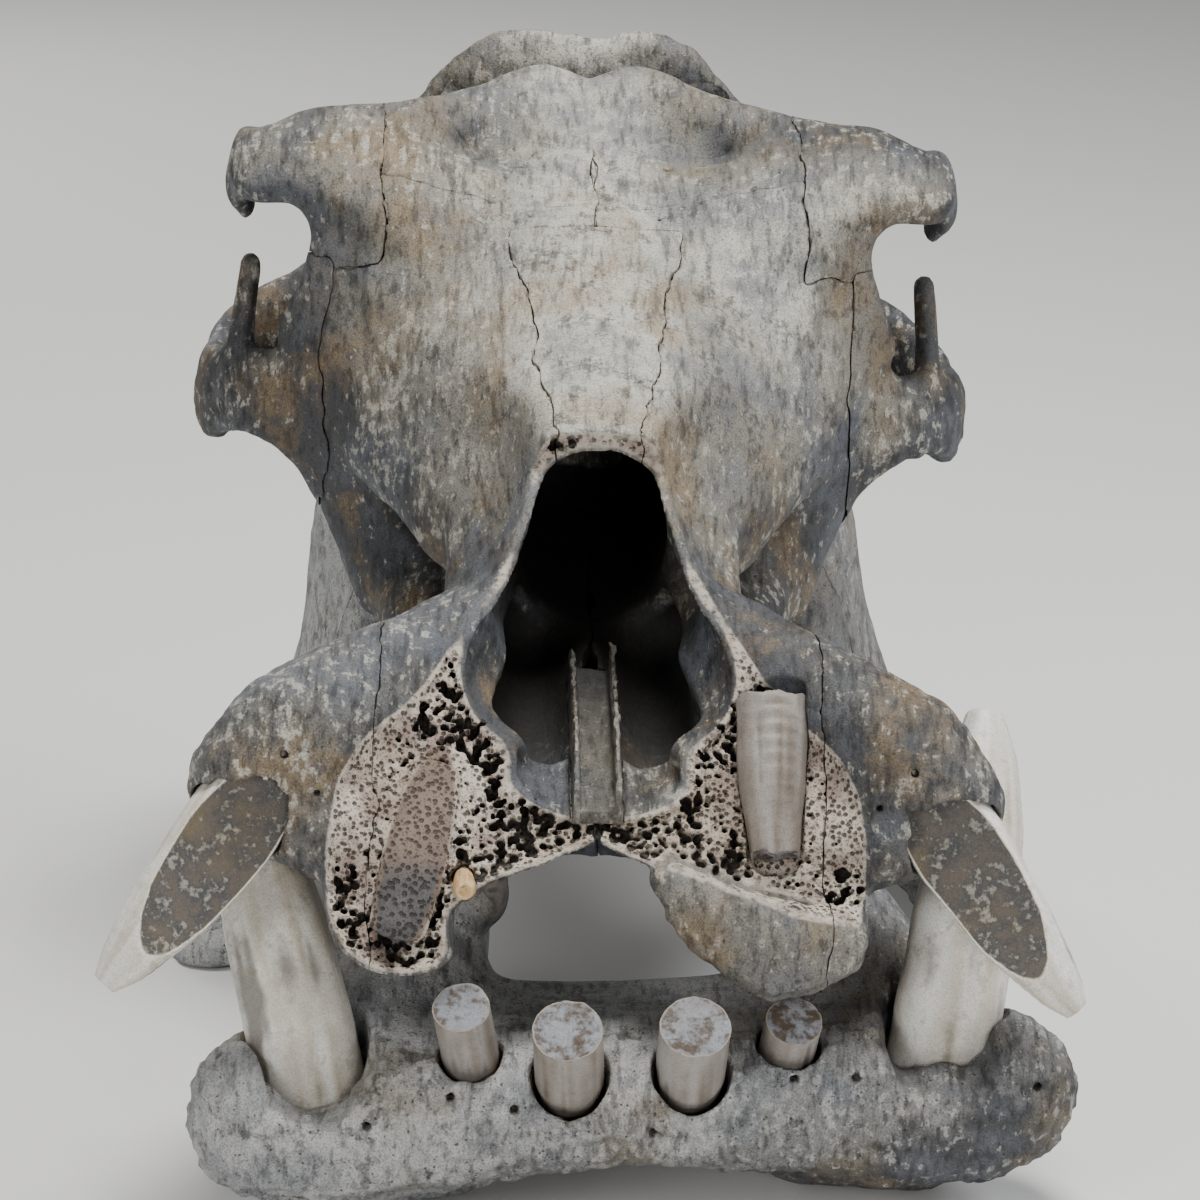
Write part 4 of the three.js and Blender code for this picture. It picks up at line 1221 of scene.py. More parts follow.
    def pierce(self, grid: Grid) -> None:
        """Sinks the small holes of vessels on the brow, the bosses and the cheeks."""
        for side in Half:
            for x, y in self.brow_vessels:
                drill(grid, (side.value * x, y, 520), (0, 0.25, -1), 1.7, 7)
            for y, z in self.cheek_vessels:
                drill(grid, (side.value * 190, y, z), (-side.value, 0.2, 0), 1.9, 7)
            drill(grid, (side.value * 150, 20, 236), (0, 1, -0.1), 2.0, 7)
            drill(grid, (side.value * 134, 20, 214), (0, 1, 0), 1.6, 6)

    def build(self, material: bpy.types.Material) -> None:
        """Makes every bone of the cranium."""
        noise, vomer = Noise(3), Vomer(self.pose)
        grids = []
        for window in (self.whole_window, self.front_window, self.nose_window):
            grid, before = self.sculpt(*window)
            roughen(grid, noise, self.rugged)
            roughen(before, noise, self.rugged)
            self.pierce(grid)
            sculpture = Sculpture(grid)
            for side in Half:
                sculpture.cut(UPPER_CANINE.on(side).socket(1.3), 1.5)
            sculpture.cut(INCISOR_ROOT.socket(0.8), 1.0)
            sculpture.cut(PEG.on(Half.RIGHT).socket(0.8), 1.0)
            for plate in vomer.plates(0.5):
                sculpture.cut(plate, 0.8)
            grids.append((grid, before))
        (coarse, before), (front, front_before), (nose, nose_before) = grids
        pores = self.pores.carve(front, front_before, self.fracture)
        self.pores.carve(nose, nose_before, self.fracture)
        Sculpture(front).add(self.tooth_bed, 2)
        log.info("spongy bone: %d pores", pores)
        bone = Bone(self.pose, coarse, (front, nose), before, self.tone, material, Slot.CRANIUM)
        bone.part("occiput", Block(y=(590, WIDE)))
        bone.pair("zygomatic", Block((141, WIDE), (300, WIDE), (0, 391)))
        bone.pair("orbit", Block((112, WIDE), (300, 500), (391, WIDE)))
        bone.pair("canine_boss", Block((108, WIDE), (-WIDE, 220)), front)
        nasals = Block((-22, 22), (150, 400), (292, WIDE), tilt=21, pivot=(228, 340), splay=0.12)
        bone.part("nasal_bones", nasals, nose, margin=52.0)
        bone.pair("premaxilla", Block((0, WIDE), (-WIDE, 112), tilt=-32, pivot=(112, 150)), front)
        bone.pair("maxilla", Block((0, WIDE), (-WIDE, 405)))
        bone.pair("frontal", Block((0, WIDE), (-WIDE, 470), (370, WIDE)))
        bone.part("braincase", None)
        vomer.build(material)


@dataclass
class Mandible:
    """The lower jaw, drawn on the animal's left side. Lengths in mm."""

    pose: Pose = Pose(16, 20, 0, 2.4, -0.9)
    cheek_teeth: int = 6
    chin: Limb = Limb(
        (
            (0, 76, 62, 66, 35),
            (70, 74, 57, 62, 37),
            (130, 68, 53, 54, 40),
            (166, 60, 54, 44, 38),
            (179, 54, 54, 30, 32),
        ),
        (0, 0.2, 1),
        2.6,
    )
    chin_foot: Limb = Limb(((92, 96, 22, 40, 22), (142, 82, 24, 32, 22)), UP)
    shelf: Limb = Limb(((0, 130, 58, 40, 28), (80, 136, 60, 40, 30)), UP)
    shoulder: Limb = Limb(((150, 60, 66, 48, 34), (124, 140, 70, 48, 36), (104, 220, 82, 36, 40)), UP)
    socket_mouth: Limb = Limb(((151, 16, 98, 27, 29), (152, 72, 90, 27, 28)), UP)
    body: Limb = Limb(
        (
            (112, 140, 70, 44, 40),
            (98, 220, 92, 56, 28),
            (98, 300, 104, 62, 25),
            (108, 390, 112, 72, 25),
            (122, 450, 120, 80, 20),
        ),
        SIDE,
        2.3,
    )
    tooth_ridge: Limb = Limb(
        ((72, 176, 122, 18, 18), (76, 260, 136, 20, 22), (86, 350, 150, 22, 24), (92, 396, 158, 20, 22)), SIDE
    )
    ramus: Limb = Limb(
        (
            (130, 514, 250, 46, 11),
            (134, 508, 200, 60, 13),
            (142, 502, 150, 72, 14),
            (160, 492, 100, 86, 14),
            (184, 470, 58, 86, 13),
            (200, 450, 28, 68, 12),
        ),
        (
            (0.95, -0.3, 0),
            (0.95, -0.3, 0),
            (0.95, -0.2, 0.1),
            (0.9, -0.1, 0.35),
            (0.8, 0, 0.6),
            (0.7, 0, 0.7),
        ),
        2.2,
        8,
    )
    spur: Limb = Limb(
        ((102, 424, 190, 26, 12), (104, 440, 240, 20, 9), (114, 464, 300, 11, 6)), (0.95, -0.3, 0)
    )
    condyle: Blob = Blob((138, 562, 256), (36, 15, 14), (0, -8, 8))
    angle: Limb = Limb(
        ((203, 446, 14, 44, 14), (210, 406, 10, 34, 16), (211, 386, 13, 20, 12)), (0.4, 0, 0.9)
    )
    left_lip: Blob = Blob((150, 40, 58), (26, 24, 21))
    left_end: Blob = Blob((190, 60, 60), (26, 32, 28))
    vessels: tuple[tuple[float, float], ...] = (
        (-126, 69),
        (-86, 81),
        (-56, 75),
        (78, 84),
        (108, 83),
        (196, 72),
        (10, 62),
        (-30, 70),
    )
    whole_window: tuple[Triple, Triple, float] = ((0, -15, -20), (250, 640, 340), COARSE)
    chin_window: tuple[Triple, Triple, float] = ((0, -15, -8), (250, 190, 140), MEDIUM)
    canine_room: float = 2.2
    inner_shift: Triple = (0, -1.0, -1.6)
    outer_shift: Triple = (0, -0.8, -1.4)
    floor: float = 0.1

    def sculpt(self, low: Triple, high: Triple, cell: float) -> Grid:
        """Draws the whole mandible on a grid whose lowest corner has x at 0."""
        bone = Sculpture(Grid(low, high, cell))
        bone.add(self.chin)
        bone.add(self.chin_foot, 16)
        bone.add(self.shelf, 16)
        bone.add(self.shoulder, 20)
        bone.cut(self.socket_mouth, 8)
        bone.add(self.body, 20)
        bone.add(self.tooth_ridge, 14)
        for n in range(self.cheek_teeth):
            bone.add(Blob((68 + 5 * n, 168 + 44 * n, 124 + 8.4 * n), (13 + n, 18 + 0.8 * n, 14)), 6)
        bone.add(self.ramus, 16)
        bone.add(self.spur, 12)
        bone.add(self.condyle, 10)
        bone.add(self.angle, 12)
        whole = Sculpture(bone.grid.mirrored())
        whole.add(self.left_lip, 8)
        whole.add(self.left_end, 14)
        return whole.grid

    def rugged(self, points: np.ndarray) -> np.ndarray:
        """How rough the skin is: most at the ends of the chin and along the angle."""
        x, y, z = np.abs(points[:, 0]), points[:, 1], points[:, 2]
        ends = smoothstep(110, 175, x) * smoothstep(150, 100, y)
        front = 0.8 * smoothstep(80, 30, y)
        angle = 0.45 * smoothstep(100, 40, z) * smoothstep(340, 380, y)
        return np.maximum.reduce([ends, front, angle]).astype(np.float32)

    def tone(self, points: np.ndarray, way: np.ndarray) -> np.ndarray:
        """How light the bone is: painted light on its top and front, painted shade below and on the left end.
        """
        # painted light from above and in front, painted shade on the left end (less towards the back) and
        # painted light on the right end
        light = 0.55 + 0.3 * way[:, 2] - 0.12 * way[:, 1]
        left = smoothstep(20, 160, points[:, 0]) * (0.58 - 0.33 * smoothstep(200, 380, points[:, 1]))
        right = smoothstep(-20, -160, points[:, 0]) * 0.35
        return np.clip(light - left + right, 0, 1)

    def build(self, material: bpy.types.Material) -> None:
        """Makes every bone of the mandible."""
        grids, noise = [], Noise(8)
        for window in (self.whole_window, self.chin_window):
            grid = self.sculpt(*window)
            roughen(grid, noise, self.rugged)
            before = grid.copy()
            for x, z in self.vessels:
                drill(grid, (x, -20, z), (0, 1, 0), 2.3, 8)
            sculpture = Sculpture(grid)
            for side in Half:
                sculpture.cut(LOWER_CANINE.on(side).socket(self.canine_room), 2.5)
                sculpture.cut(INNER_INCISOR.on(side).socket(2.2, self.inner_shift), 2.0)
            for outer in (OUTER_INCISOR.on(Half.RIGHT), SHORT_INCISOR):
                sculpture.cut(outer.socket(2.0, self.outer_shift), 2.0)
            self.level(grid)
            grids.append((grid, before))
        (coarse, before), (chin, _) = grids
        bone = Bone(self.pose, coarse, (chin,), before, self.tone, material, Slot.MANDIBLE)
        bone.part("mandible_symphysis", Block(y=(-WIDE, 172)), chin)
        bone.pair("mandible_angle", Block((150, WIDE), (340, WIDE), (-WIDE, 84), tilt=4, pivot=(365, 84)))
        bone.pair("mandible_ramus", Block((0, WIDE), (440, WIDE)))
        bone.pair("mandible_body", Block((0, WIDE)))

    def level(self, grid: Grid) -> None:
        """Cuts the small flats on which the posed jaw rests."""
        window = grid.window(grid.low, np.array([WIDE, WIDE, 30.0]))
        x, y, z = grid.axes(window)
        turn = self.pose.turn()
        height = turn[2, 0] * x + turn[2, 1] * (y - self.pose.y) + turn[2, 2] * (z - self.pose.z)
        grid.value[window] = np.maximum(grid.value[window], self.floor - height.astype(np.float32))


# ---- the teeth -----------------------------------------------------------------------------------


@dataclass(frozen=True)
class Facet:
    """A worn face: what lies beyond a plane is gone, and with a radius the face is hollow."""

    at: Triple
    way: Triple
    radius: float = 0.0

    def on(self, side: Half) -> Facet:
        """The facet on one side of the skull."""
        mirror = side.value
        return Facet((mirror * self.at[0], *self.at[1:]), (mirror * self.way[0], *self.way[1:]), self.radius)

    def beyond(self, grid: Grid) -> np.ndarray:
        """How far each node of a grid lies beyond the face."""
        axes = grid.axes(grid.whole())
        way = normalized(np.array(self.way, float))
        if not self.radius:
            return sum((axis - a) * w for axis, a, w in zip(axes, self.at, way))
        middle = np.array(self.at) + way * self.radius
        return self.radius - np.sqrt(sum((axis - m) ** 2 for axis, m in zip(axes, middle)))


@dataclass(frozen=True)
class Tooth:
    """A tooth in its socket, with its worn faces and its lengthwise ridges. Lengths in mm."""

    node: str
    shape: ToothShape
    pose: Pose
    slot: Slot
    facets: tuple[Facet, ...] = ()
    ridge: float = 0.5
    wave: float = 3.4
    cell: float = 1.4
    broken: float = 0.3
    seed: int = 1

    def ends(self) -> tuple[Facet, Facet]:
        """The flat ends of the tooth, at its first and last stations."""
        spots = np.array([station[:3] for station in self.shape.stations], float)
        path = centripetal(spots, 8)
        pairs = ((path[0], path[1]), (path[-1], path[-2]))
        return tuple(Facet(tuple(end), tuple(end - inner)) for end, inner in pairs)

    def streak(self, points: np.ndarray, noise: Noise) -> np.ndarray:
        """Lengthwise streaks on a tooth.

        Args:
            points: Points near its skin.
            noise: The noise to draw them with.

        Returns:
            The streaks at the points, from -1 to 1.
        """
        stations = np.array(self.shape.stations, float)
        path = centripetal(stations[:, :3], 12)
        run = np.concatenate([[0], np.cumsum(np.linalg.norm(np.diff(path, axis=0), axis=1))])
        nearest = np.zeros(len(points), int)
        best = np.full(len(points), 1e9)
        for i, spot in enumerate(path):
            gap = np.sum((points - spot) ** 2, axis=1)
            nearest[gap < best] = i
            best = np.minimum(best, gap)
        tangent = normalized(np.gradient(path, axis=0))[nearest]
        flat = np.array(self.shape.flat, float)
        flat = normalized(flat - tangent * (tangent @ flat)[:, None])
        across = np.cross(flat, tangent)
        offset = points - path[nearest]
        along = run[nearest] + np.sum(offset * tangent, axis=1)
        angle = np.arctan2(np.sum(offset * flat, axis=1), np.sum(offset * across, axis=1))
        girth = float(stations[:, 3:].mean())
        line = np.stack([girth * np.cos(angle), girth * np.sin(angle), 0.07 * along], axis=1)
        return 0.6 * noise.at(line, self.wave) + 0.4 * noise.at(line + 50, 2.2 * self.wave)

    def build(self, material: bpy.types.Material) -> None:
        """Makes the tooth."""
        stations = np.array(self.shape.stations, float)
        reach = stations[:, 3:].max() + 5
        low, high = stations[:, :3].min(0) - reach, stations[:, :3].max(0) + reach
        grid = Grid(low, high, self.cell)
        Limb(self.shape.stations, self.shape.flat, 2.0, 6).grown(-0.2).draw(grid, 1.0, 1)
        noise = Noise(self.seed)
        index, points = grid.near_surface(3.5)
        grid.value[index] += self.ridge * self.streak(points, noise) + 0.35 * noise.at(points, 17.0)
        before, knife = grid.copy(), grid.copy()
        knife.value = np.maximum.reduce([facet.beyond(grid) for facet in (*self.ends(), *self.facets)])
        knife.value = knife.value.astype(np.float32)
        index, spots = knife.near_surface(6.0)
        knife.value[index] += self.broken * (noise.at(spots, 6.5) + 0.5 * noise.at(spots, 2.6) + 0.5)
        points, faces = crisp_surface(grid, knife)
        layers = {
            "facet": smoothstep(0.9, 0.3, np.abs(knife.sample(points))),
            "core": np.clip(-before.sample(points) / 10, 0, 1),
            "tone": 0.5 + 0.5 * self.streak(points, noise),
        }
        piece = make_object(f"{self.node}_tooth", self.pose.to_world(points), faces, material, layers)
        declare(piece, self.slot, self.node)


@dataclass(frozen=True)
class CheekTeeth:
    """A row of worn molars and premolars: one crown, repeated along the jaw. Lengths in mm."""

    pose: Pose
    upper: bool
    start: Triple
    step: Triple
    count: int = 6
    grow: float = 0.05
    seed: int = 4

    def crown(self) -> tuple[np.ndarray, np.ndarray, dict[str, np.ndarray]]:
        """One crown, its worn face up: its points, its faces and their layers."""
        grid = Grid((-22, -26, -22), (22, 26, 22), 1.6)
        for x in (-6.2, 6.2):
            for y in (-8.6, 8.6):
                Blob((x, y, -2), (8.6, 10.2, 21)).draw(grid, 2.4, 1)
        for x, y, turn in ((0, 19.5, 0), (0, -19.5, 0), (14.5, 0, 90), (-14.5, 0, 90)):
            Blob((x, y, 6), (2.6, 4.2, 26), (0, 0, turn)).draw(grid, 2.0, -1)
        index, points = grid.near_surface(3.0)
        noise = Noise(self.seed)
        grid.value[index] += 0.35 * noise.at(points, 5.0) + 0.3 * noise.at(points, 13.0)
        before, knife = grid.copy(), grid.copy()
        knife.value = Facet((0, 0, 7), (0.06, 0.02, 1), 70).beyond(grid).astype(np.float32)
        for x in (-6.5, 6.5):
            for y in (-8.8, 8.8):
                Blob((x, y, 9.5), (3.4, 4.6, 3.8)).draw(knife, 1.0, -1)
        points, faces = crisp_surface(grid, knife)
        layers = {
            "facet": smoothstep(1.2, 0.4, np.abs(knife.sample(points))),
            "core": np.clip(-before.sample(points) / 10, 0, 1),
            "tone": 0.5 + 0.5 * noise.at(points, 6.0),
        }
        return points, faces, layers

    def tree(self) -> bpy.types.NodeTree:
        """The node tree that sets a crown on every point, each turned a little."""
        tree = bpy.data.node_groups.new("cheek_tooth_row", "GeometryNodeTree")
        names = ("Geometry", "Crown", "Turn", "Seed", "Finish")
        for name, kind in zip(names, ("Geometry", "Object", "Float", "Int", "Material")):
            tree.interface.new_socket(name, in_out="INPUT", socket_type=f"NodeSocket{kind}")
        tree.interface.new_socket("Geometry", in_out="OUTPUT", socket_type="NodeSocketGeometry")
        add = tree.nodes.new
        given, result = add("NodeGroupInput"), add("NodeGroupOutput")
        crown, place = add("GeometryNodeObjectInfo"), add("GeometryNodeInstanceOnPoints")
        size, turn = add("GeometryNodeInputNamedAttribute"), add("FunctionNodeRandomValue")
        back = add("ShaderNodeMath")
        real, finish = add("GeometryNodeRealizeInstances"), add("GeometryNodeSetMaterial")
        size.inputs["Name"].default_value = "size"
        turn.data_type = "FLOAT_VECTOR"
        back.operation = "MULTIPLY"
        back.inputs[1].default_value = -1.0
        links = (
            (given, "Turn", back, 0),
            (back, 0, turn, "Min"),
            (given, "Turn", turn, "Max"),
            (given, "Seed", turn, "Seed"),
            (given, "Crown", crown, "Object"),
            (given, "Geometry", place, "Points"),
            (crown, "Geometry", place, "Instance"),
            (turn, "Value", place, "Rotation"),
            (size, "Attribute", place, "Scale"),
            (place, "Instances", real, "Geometry"),
            (real, "Geometry", finish, "Geometry"),
            (given, "Finish", finish, "Material"),
            (finish, "Geometry", result, 0),
        )
        for source, output, target, socket in links:
            tree.links.new(source.outputs[output], target.inputs[socket])
        return tree

    def build(self, side: Half, material: bpy.types.Material) -> None:
        """Makes the row on one side."""
        points, faces, layers = self.crown()
        tilt = math.atan2(self.step[2], self.step[1])
        if self.upper:
            points = points * (-1, 1, -1)
        posed = points @ rotation(0, tilt).T @ self.pose.turn().T * MM
        crown = make_object("crown", posed, faces, material, layers)
        name = f"{'upper' if self.upper else 'lower'}_cheek_teeth_{side.label}"
        spots = np.array([np.array(self.start) + n * np.array(self.step) for n in range(self.count)])
        spots[:, 0] *= side.value
        base = bpy.data.meshes.new(name)
        base.from_pydata([tuple(p) for p in self.pose.to_world(spots)], [], [])
        size = base.attributes.new("size", "FLOAT", "POINT")
        size.data.foreach_set("value", np.array([0.9 + self.grow * n for n in range(self.count)], np.float32))
        row = bpy.data.objects.new(name, base)
        bpy.context.scene.collection.objects.link(row)
        row_tree = self.tree()
        nodes = row.modifiers.new("row", "NODES")
        nodes.node_group = row_tree
        values = {"Crown": crown, "Turn": 0.07, "Seed": self.seed + side.value, "Finish": material}
        for item in row_tree.interface.items_tree:
            if item.in_out == "INPUT" and item.name in values:
                nodes[item.identifier] = values[item.name]
        baked = bpy.data.meshes.new_from_object(row.evaluated_get(bpy.context.evaluated_depsgraph_get()))
        row.modifiers.clear()
        row.data = baked
        bpy.data.objects.remove(crown)
        declare(row, Slot.WORN)


UPPER_FACET = Facet((177, 53, 195), (-0.2, -0.945, 0.26), 300)
LOWER_FACET = Facet((182, 150, 196), (0.05, 0.87, -0.49), 160)
UPPER_ROW = ((64, 150, 167), (4, 46, 8.6))
LOWER_ROW = ((68, 168, 137), (5, 44, 8.4))


# ---- finishes ------------------------------------------------------------------------------------


def rgb(code: str) -> Rgb:
    """A linear colour from a hexadecimal one."""
    parts = [int(code[i : i + 2], 16) / 255 for i in (0, 2, 4)]
    return tuple(c / 12.92 if c <= 0.04045 else ((c + 0.055) / 1.055) ** 2.4 for c in parts)


class Value:
    """A shader socket that can be summed and scaled."""

    def __init__(self, shader: Shader, socket: bpy.types.NodeSocket) -> None:
        """Wraps a socket of a shader."""
        self.shader = shader
        self.socket = socket

    def math(self, operation: str, first: Value | float, second: Value | float) -> Value:
        """A Math node on two values."""
        return self.shader.node("ShaderNodeMath", {0: first, 1: second}, operation=operation)

    def __add__(self, other: Value | float) -> Value:
        """The sum."""
        return self.math("ADD", self, other)

    __radd__ = __add__

    def __mul__(self, other: Value | float) -> Value:
        """The product."""
        return self.math("MULTIPLY", self, other)

    def __sub__(self, other: Value | float) -> Value:
        """The difference."""
        return self.math("SUBTRACT", self, other)

    def __rsub__(self, other: float) -> Value:
        """The difference, the other way round."""
        return self.math("SUBTRACT", other, self)

    def least(self, other: Value | float) -> Value:
        """The smaller of two."""
        return self.math("MINIMUM", self, other)

    def step(self, low: float, high: float) -> Value:
        """A smooth rise from 0 at low to 1 at high, or a fall where low is the higher."""
        settings = {"interpolation_type": "SMOOTHSTEP"}
        if low < high:
            return self.shader.node("ShaderNodeMapRange", {0: self, 1: low, 2: high}, **settings)
        return 1.0 - self.shader.node("ShaderNodeMapRange", {0: self, 1: high, 2: low}, **settings)


class Shader:
    """A material's node tree under construction."""

    def __init__(self, name: str) -> None:
        """Starts an empty material."""
        self.material = bpy.data.materials.new(name)
        self.material.use_nodes = True
        self.tree = self.material.node_tree
        self.tree.nodes.clear()
        self.place = self.node("ShaderNodeTexCoord", {}, output="Object")

    def node(self, kind: str, inputs: dict, output: int | str = 0, **settings: object) -> Value:
        """Adds a node.

        Args:
            kind: The node's type.
            inputs: Values or constants for its inputs, by name or number.
            output: Which output to use.
            **settings: The node's own settings, made first.

        Returns:
            The chosen output.
        """
        made = self.tree.nodes.new(kind)
        for name, value in settings.items():
            setattr(made, name, value)
        for name, value in inputs.items():
            if isinstance(value, Value):
                self.tree.links.new(value.socket, made.inputs[name])
            else:
                made.inputs[name].default_value = value
        return Value(self, made.outputs[output])

    def layer(self, name: str) -> Value:
        """A named value of the mesh's points."""
        return self.node("ShaderNodeAttribute", {}, output="Fac", attribute_name=name)

    def stretched(self, x: float, y: float, z: float) -> Value:
        """The object's coordinates, scaled along each axis."""
        return self.node("ShaderNodeVectorMath", {0: self.place, 1: (x, y, z)}, operation="MULTIPLY")

    def shifted(self, x: float, y: float, z: float) -> Value:
        """The object's coordinates, moved by metres."""
        return self.node("ShaderNodeVectorMath", {0: self.place, 1: (x, y, z)}, operation="ADD")

    def noise(self, size: float, detail: float = 3.0, rough: float = 0.55, at: Value | None = None) -> Value:
        """Noise with lumps of a size in mm."""
        where = self.place if at is None else at
        inputs = {"Vector": where, "Scale": 1.0 / MM / size, "Detail": detail, "Roughness": rough}
        return self.node("ShaderNodeTexNoise", inputs)

    def cells(self, size: float) -> Value:
        """Distances in cells of a size in mm."""
        inputs = {"Vector": self.place, "Scale": 1.0 / MM / size}
        return self.node("ShaderNodeTexVoronoi", inputs, output="Distance")

    def blend(
        self, factor: Value | float, first: Value | Rgb, second: Value | Rgb, way: str = "MIX"
    ) -> Value:
        """A colour between two, or with another way their product or overlay."""
        made = self.tree.nodes.new("ShaderNodeMix")
        made.data_type = "RGBA"
        made.blend_type = way
        for socket, value in zip((made.inputs[0], made.inputs[6], made.inputs[7]), (factor, first, second)):
            if isinstance(value, Value):
                self.tree.links.new(value.socket, socket)
            elif isinstance(value, tuple):
                socket.default_value = (*value, 1.0)
            else:
                socket.default_value = value
        return Value(self, made.outputs[2])

    def finish(
        self, colour: Value, roughness: Value, height: Value, relief: float, **fixed: float
    ) -> bpy.types.Material:
        """Closes the material.

        Args:
            colour: Its base colour.
            roughness: Its roughness.
            height: The relief's height from 0 to 1.
            relief: How high 1 is, in mm.
            **fixed: Uniform values of the surface, with underscores for spaces.

        Returns:
            The material.
        """
        bump = self.node("ShaderNodeBump", {"Height": height, "Strength": 1.0, "Distance": relief * MM})
        inputs = {"Base Color": colour, "Roughness": roughness, "Normal": bump}
        inputs.update({name.replace("_", " "): value for name, value in fixed.items()})
        surface = self.node("ShaderNodeBsdfPrincipled", inputs)
        self.tree.links.new(surface.socket, self.tree.nodes.new("ShaderNodeOutputMaterial").inputs["Surface"])
        return self.material


# painted shade: the black of the nasal passage's walls well behind the break
PASSAGE_SHADE_BLACK = (0.008, 0.007, 0.006)


@dataclass(frozen=True)
class FossilBone:
    """Mottled fossil bone with stains, streaks and fine pores, spongy bone where it is broken, and painted
    light and shade.
    """

    name: str
    light: Rgb
    middle: Rgb
    dark: Rgb
    ochre: Rgb
    cool: Rgb
    pale: Rgb
    spongy: Rgb
    crumb: Rgb
    root: Rgb
    # dark brown of the painted shade in pores, holes, hollows and seams
    dirt: Rgb
    # how strong the painted shade in the fine pores is
    pits: float = 0.5

    def make(self) -> bpy.types.Material:
        """Builds the material."""
        s = Shader(self.name)
        core, hollow, pit, deep, tone = (s.layer(name) for name in ("core", "hollow", "pit", "deep", "tone"))
        broad, patch = s.noise(80, 2, 0.6), s.noise(24, 4, 0.65)
        small, grain = s.noise(6.0, 3, 0.65), s.noise(1.0, 2)
        warm = s.noise(60, 3, 0.62, s.shifted(0.31, 0.07, 0.77))
        fibre = s.noise(4.0, 3, 0.65, s.stretched(1.0, 0.16, 0.4))
        # tone carries painted light and shade; the noises are the bone's own mottle
        shade = tone + (broad - 0.5) * 0.7 + (patch - 0.5) * 0.55 + (fibre - 0.5) * 0.35
        skin = s.blend(shade.step(0.0, 0.42), self.dark, self.middle)
        skin = s.blend(shade.step(0.4, 0.95), skin, self.light)
        skin = s.blend((warm + (small - 0.5) * 0.3).step(0.5, 0.68) * 0.6, skin, self.ochre)
        skin = s.blend((warm + (patch - 0.5) * 0.4).step(0.5, 0.34) * 0.55, skin, self.cool)
        skin = s.blend((patch + (small - 0.5) * 0.9).step(0.54, 0.7) * 0.6, skin, self.dark)
        bleached = (small + (fibre - 0.5) * 0.6 + (broad - 0.5) * 0.5).step(0.56, 0.7) * 0.6
        skin = s.blend(bleached, skin, self.pale)
        # painted shade in the fine pores of the skin
        pore_shade_dots = s.cells(3.4).step(0.27, 0.12) * small.step(0.40, 0.58)
        skin = s.blend(pore_shade_dots * self.pits, skin, self.dirt)
        skin = s.blend(fibre.step(0.52, 0.32) * 0.5, skin, self.dark, "MULTIPLY")
        skin = s.blend(grain.step(0.6, 0.32) * 0.45, skin, self.dark, "MULTIPLY")
        wide, fine = s.cells(2.9), s.cells(1.35)
        # painted shade in the holes of the spongy bone
        hole_shade = (wide.step(0.5, 0.22) * 0.9 + fine.step(0.5, 0.2) * 0.6).least(1.0)
        bed = tone.step(-0.1, -0.6)
        sponge = s.blend(patch.step(0.36, 0.6), self.spongy, self.crumb)
        sponge = s.blend(broad.step(0.45, 0.65) * 0.3, sponge, self.ochre)
        sponge = s.blend(bed * 0.9, sponge, s.blend(tone.step(-0.8, -1.5), self.root, self.dark))
        sponge = s.blend(hole_shade * (0.92 - bed * 0.2), sponge, self.dirt)
        colour = s.blend(core, skin, sponge)
        rind = core.step(0.04, 0.3) * core.step(1.0, 0.75) * small.step(0.3, 0.6) * 0.65
        colour = s.blend(rind, colour, self.crumb)
        # painted shade in hollows and on the walls of the seams between bones
        shadow = (hollow.step(0.45, 0.95) * 0.7 + pit * 0.9).least(0.97)
        colour = s.blend(shadow, colour, self.dirt)
        # painted shade: the walls of the nasal passage turn black behind the break
        colour = s.blend(deep * 0.98, colour, PASSAGE_SHADE_BLACK)
        rough = 0.6 + grain * 0.2 + core * 0.12
        plain = small * 0.5 + grain * 0.16 + fibre * 0.26
        height = plain * (1.0 - core) + (0.7 - wide.step(0.5, 0.22) * 0.7) * core
        return s.finish(colour, rough, height, 1.6, Specular_IOR_Level=0.35)


@dataclass(frozen=True)
class Ivory:
    """Tooth with lengthwise streaks and a dark worn face inside a pale rim; rim holds its depths in cm."""

    name: str
    pale: Rgb
    cream: Rgb
    stain: Rgb
    worn: Rgb
    rust: Rgb
    edge: Rgb
    rim: tuple[float, float]

    def make(self) -> bpy.types.Material:
        """Builds the material."""
        s = Shader(self.name)
        facet, core, tone = (s.layer(name) for name in ("facet", "core", "tone"))
        broad, patch = s.noise(48, 4), s.noise(13, 5, 0.62)
        small, grain = s.noise(3.6, 4, 0.62), s.noise(0.8, 2)
        skin = s.blend((tone + (patch - 0.5) * 0.7).step(0.2, 0.75), self.cream, self.pale)
        skin = s.blend((tone * 0.6 + broad * 0.7).step(0.71, 0.88) * 0.8, skin, self.stain)
        skin = s.blend((patch + (small - 0.5) * 0.5).step(0.56, 0.7) * 0.35, skin, self.rust)
        skin = s.blend((tone + (patch - 0.5) * 0.4).step(0.34, 0.08) * 0.7, skin, self.stain)
        face = s.blend((patch + (small - 0.5) * 0.8).step(0.35, 0.62), self.stain, self.worn)
        face = s.blend((broad + (small - 0.5) * 0.6).step(0.52, 0.7) * 0.3, face, self.rust)
        face = s.blend((small + (patch - 0.5) * 0.6).step(0.52, 0.7) * 0.45, face, self.cream)
        inner = (core + (patch - 0.5) * 0.08).step(*self.rim)
        colour = s.blend(facet * core.step(0.004, 0.02), skin, s.blend(inner, self.edge, face))
        colour = s.blend(grain.step(0.6, 0.35) * 0.25, colour, self.stain, "MULTIPLY")
        rough = 0.4 + patch * 0.18 + facet * 0.14
        height = tone * 0.6 * (1.0 - facet) + small * 0.35 + grain * 0.15
        return s.finish(colour, rough, height, 0.8, Specular_IOR_Level=0.45)


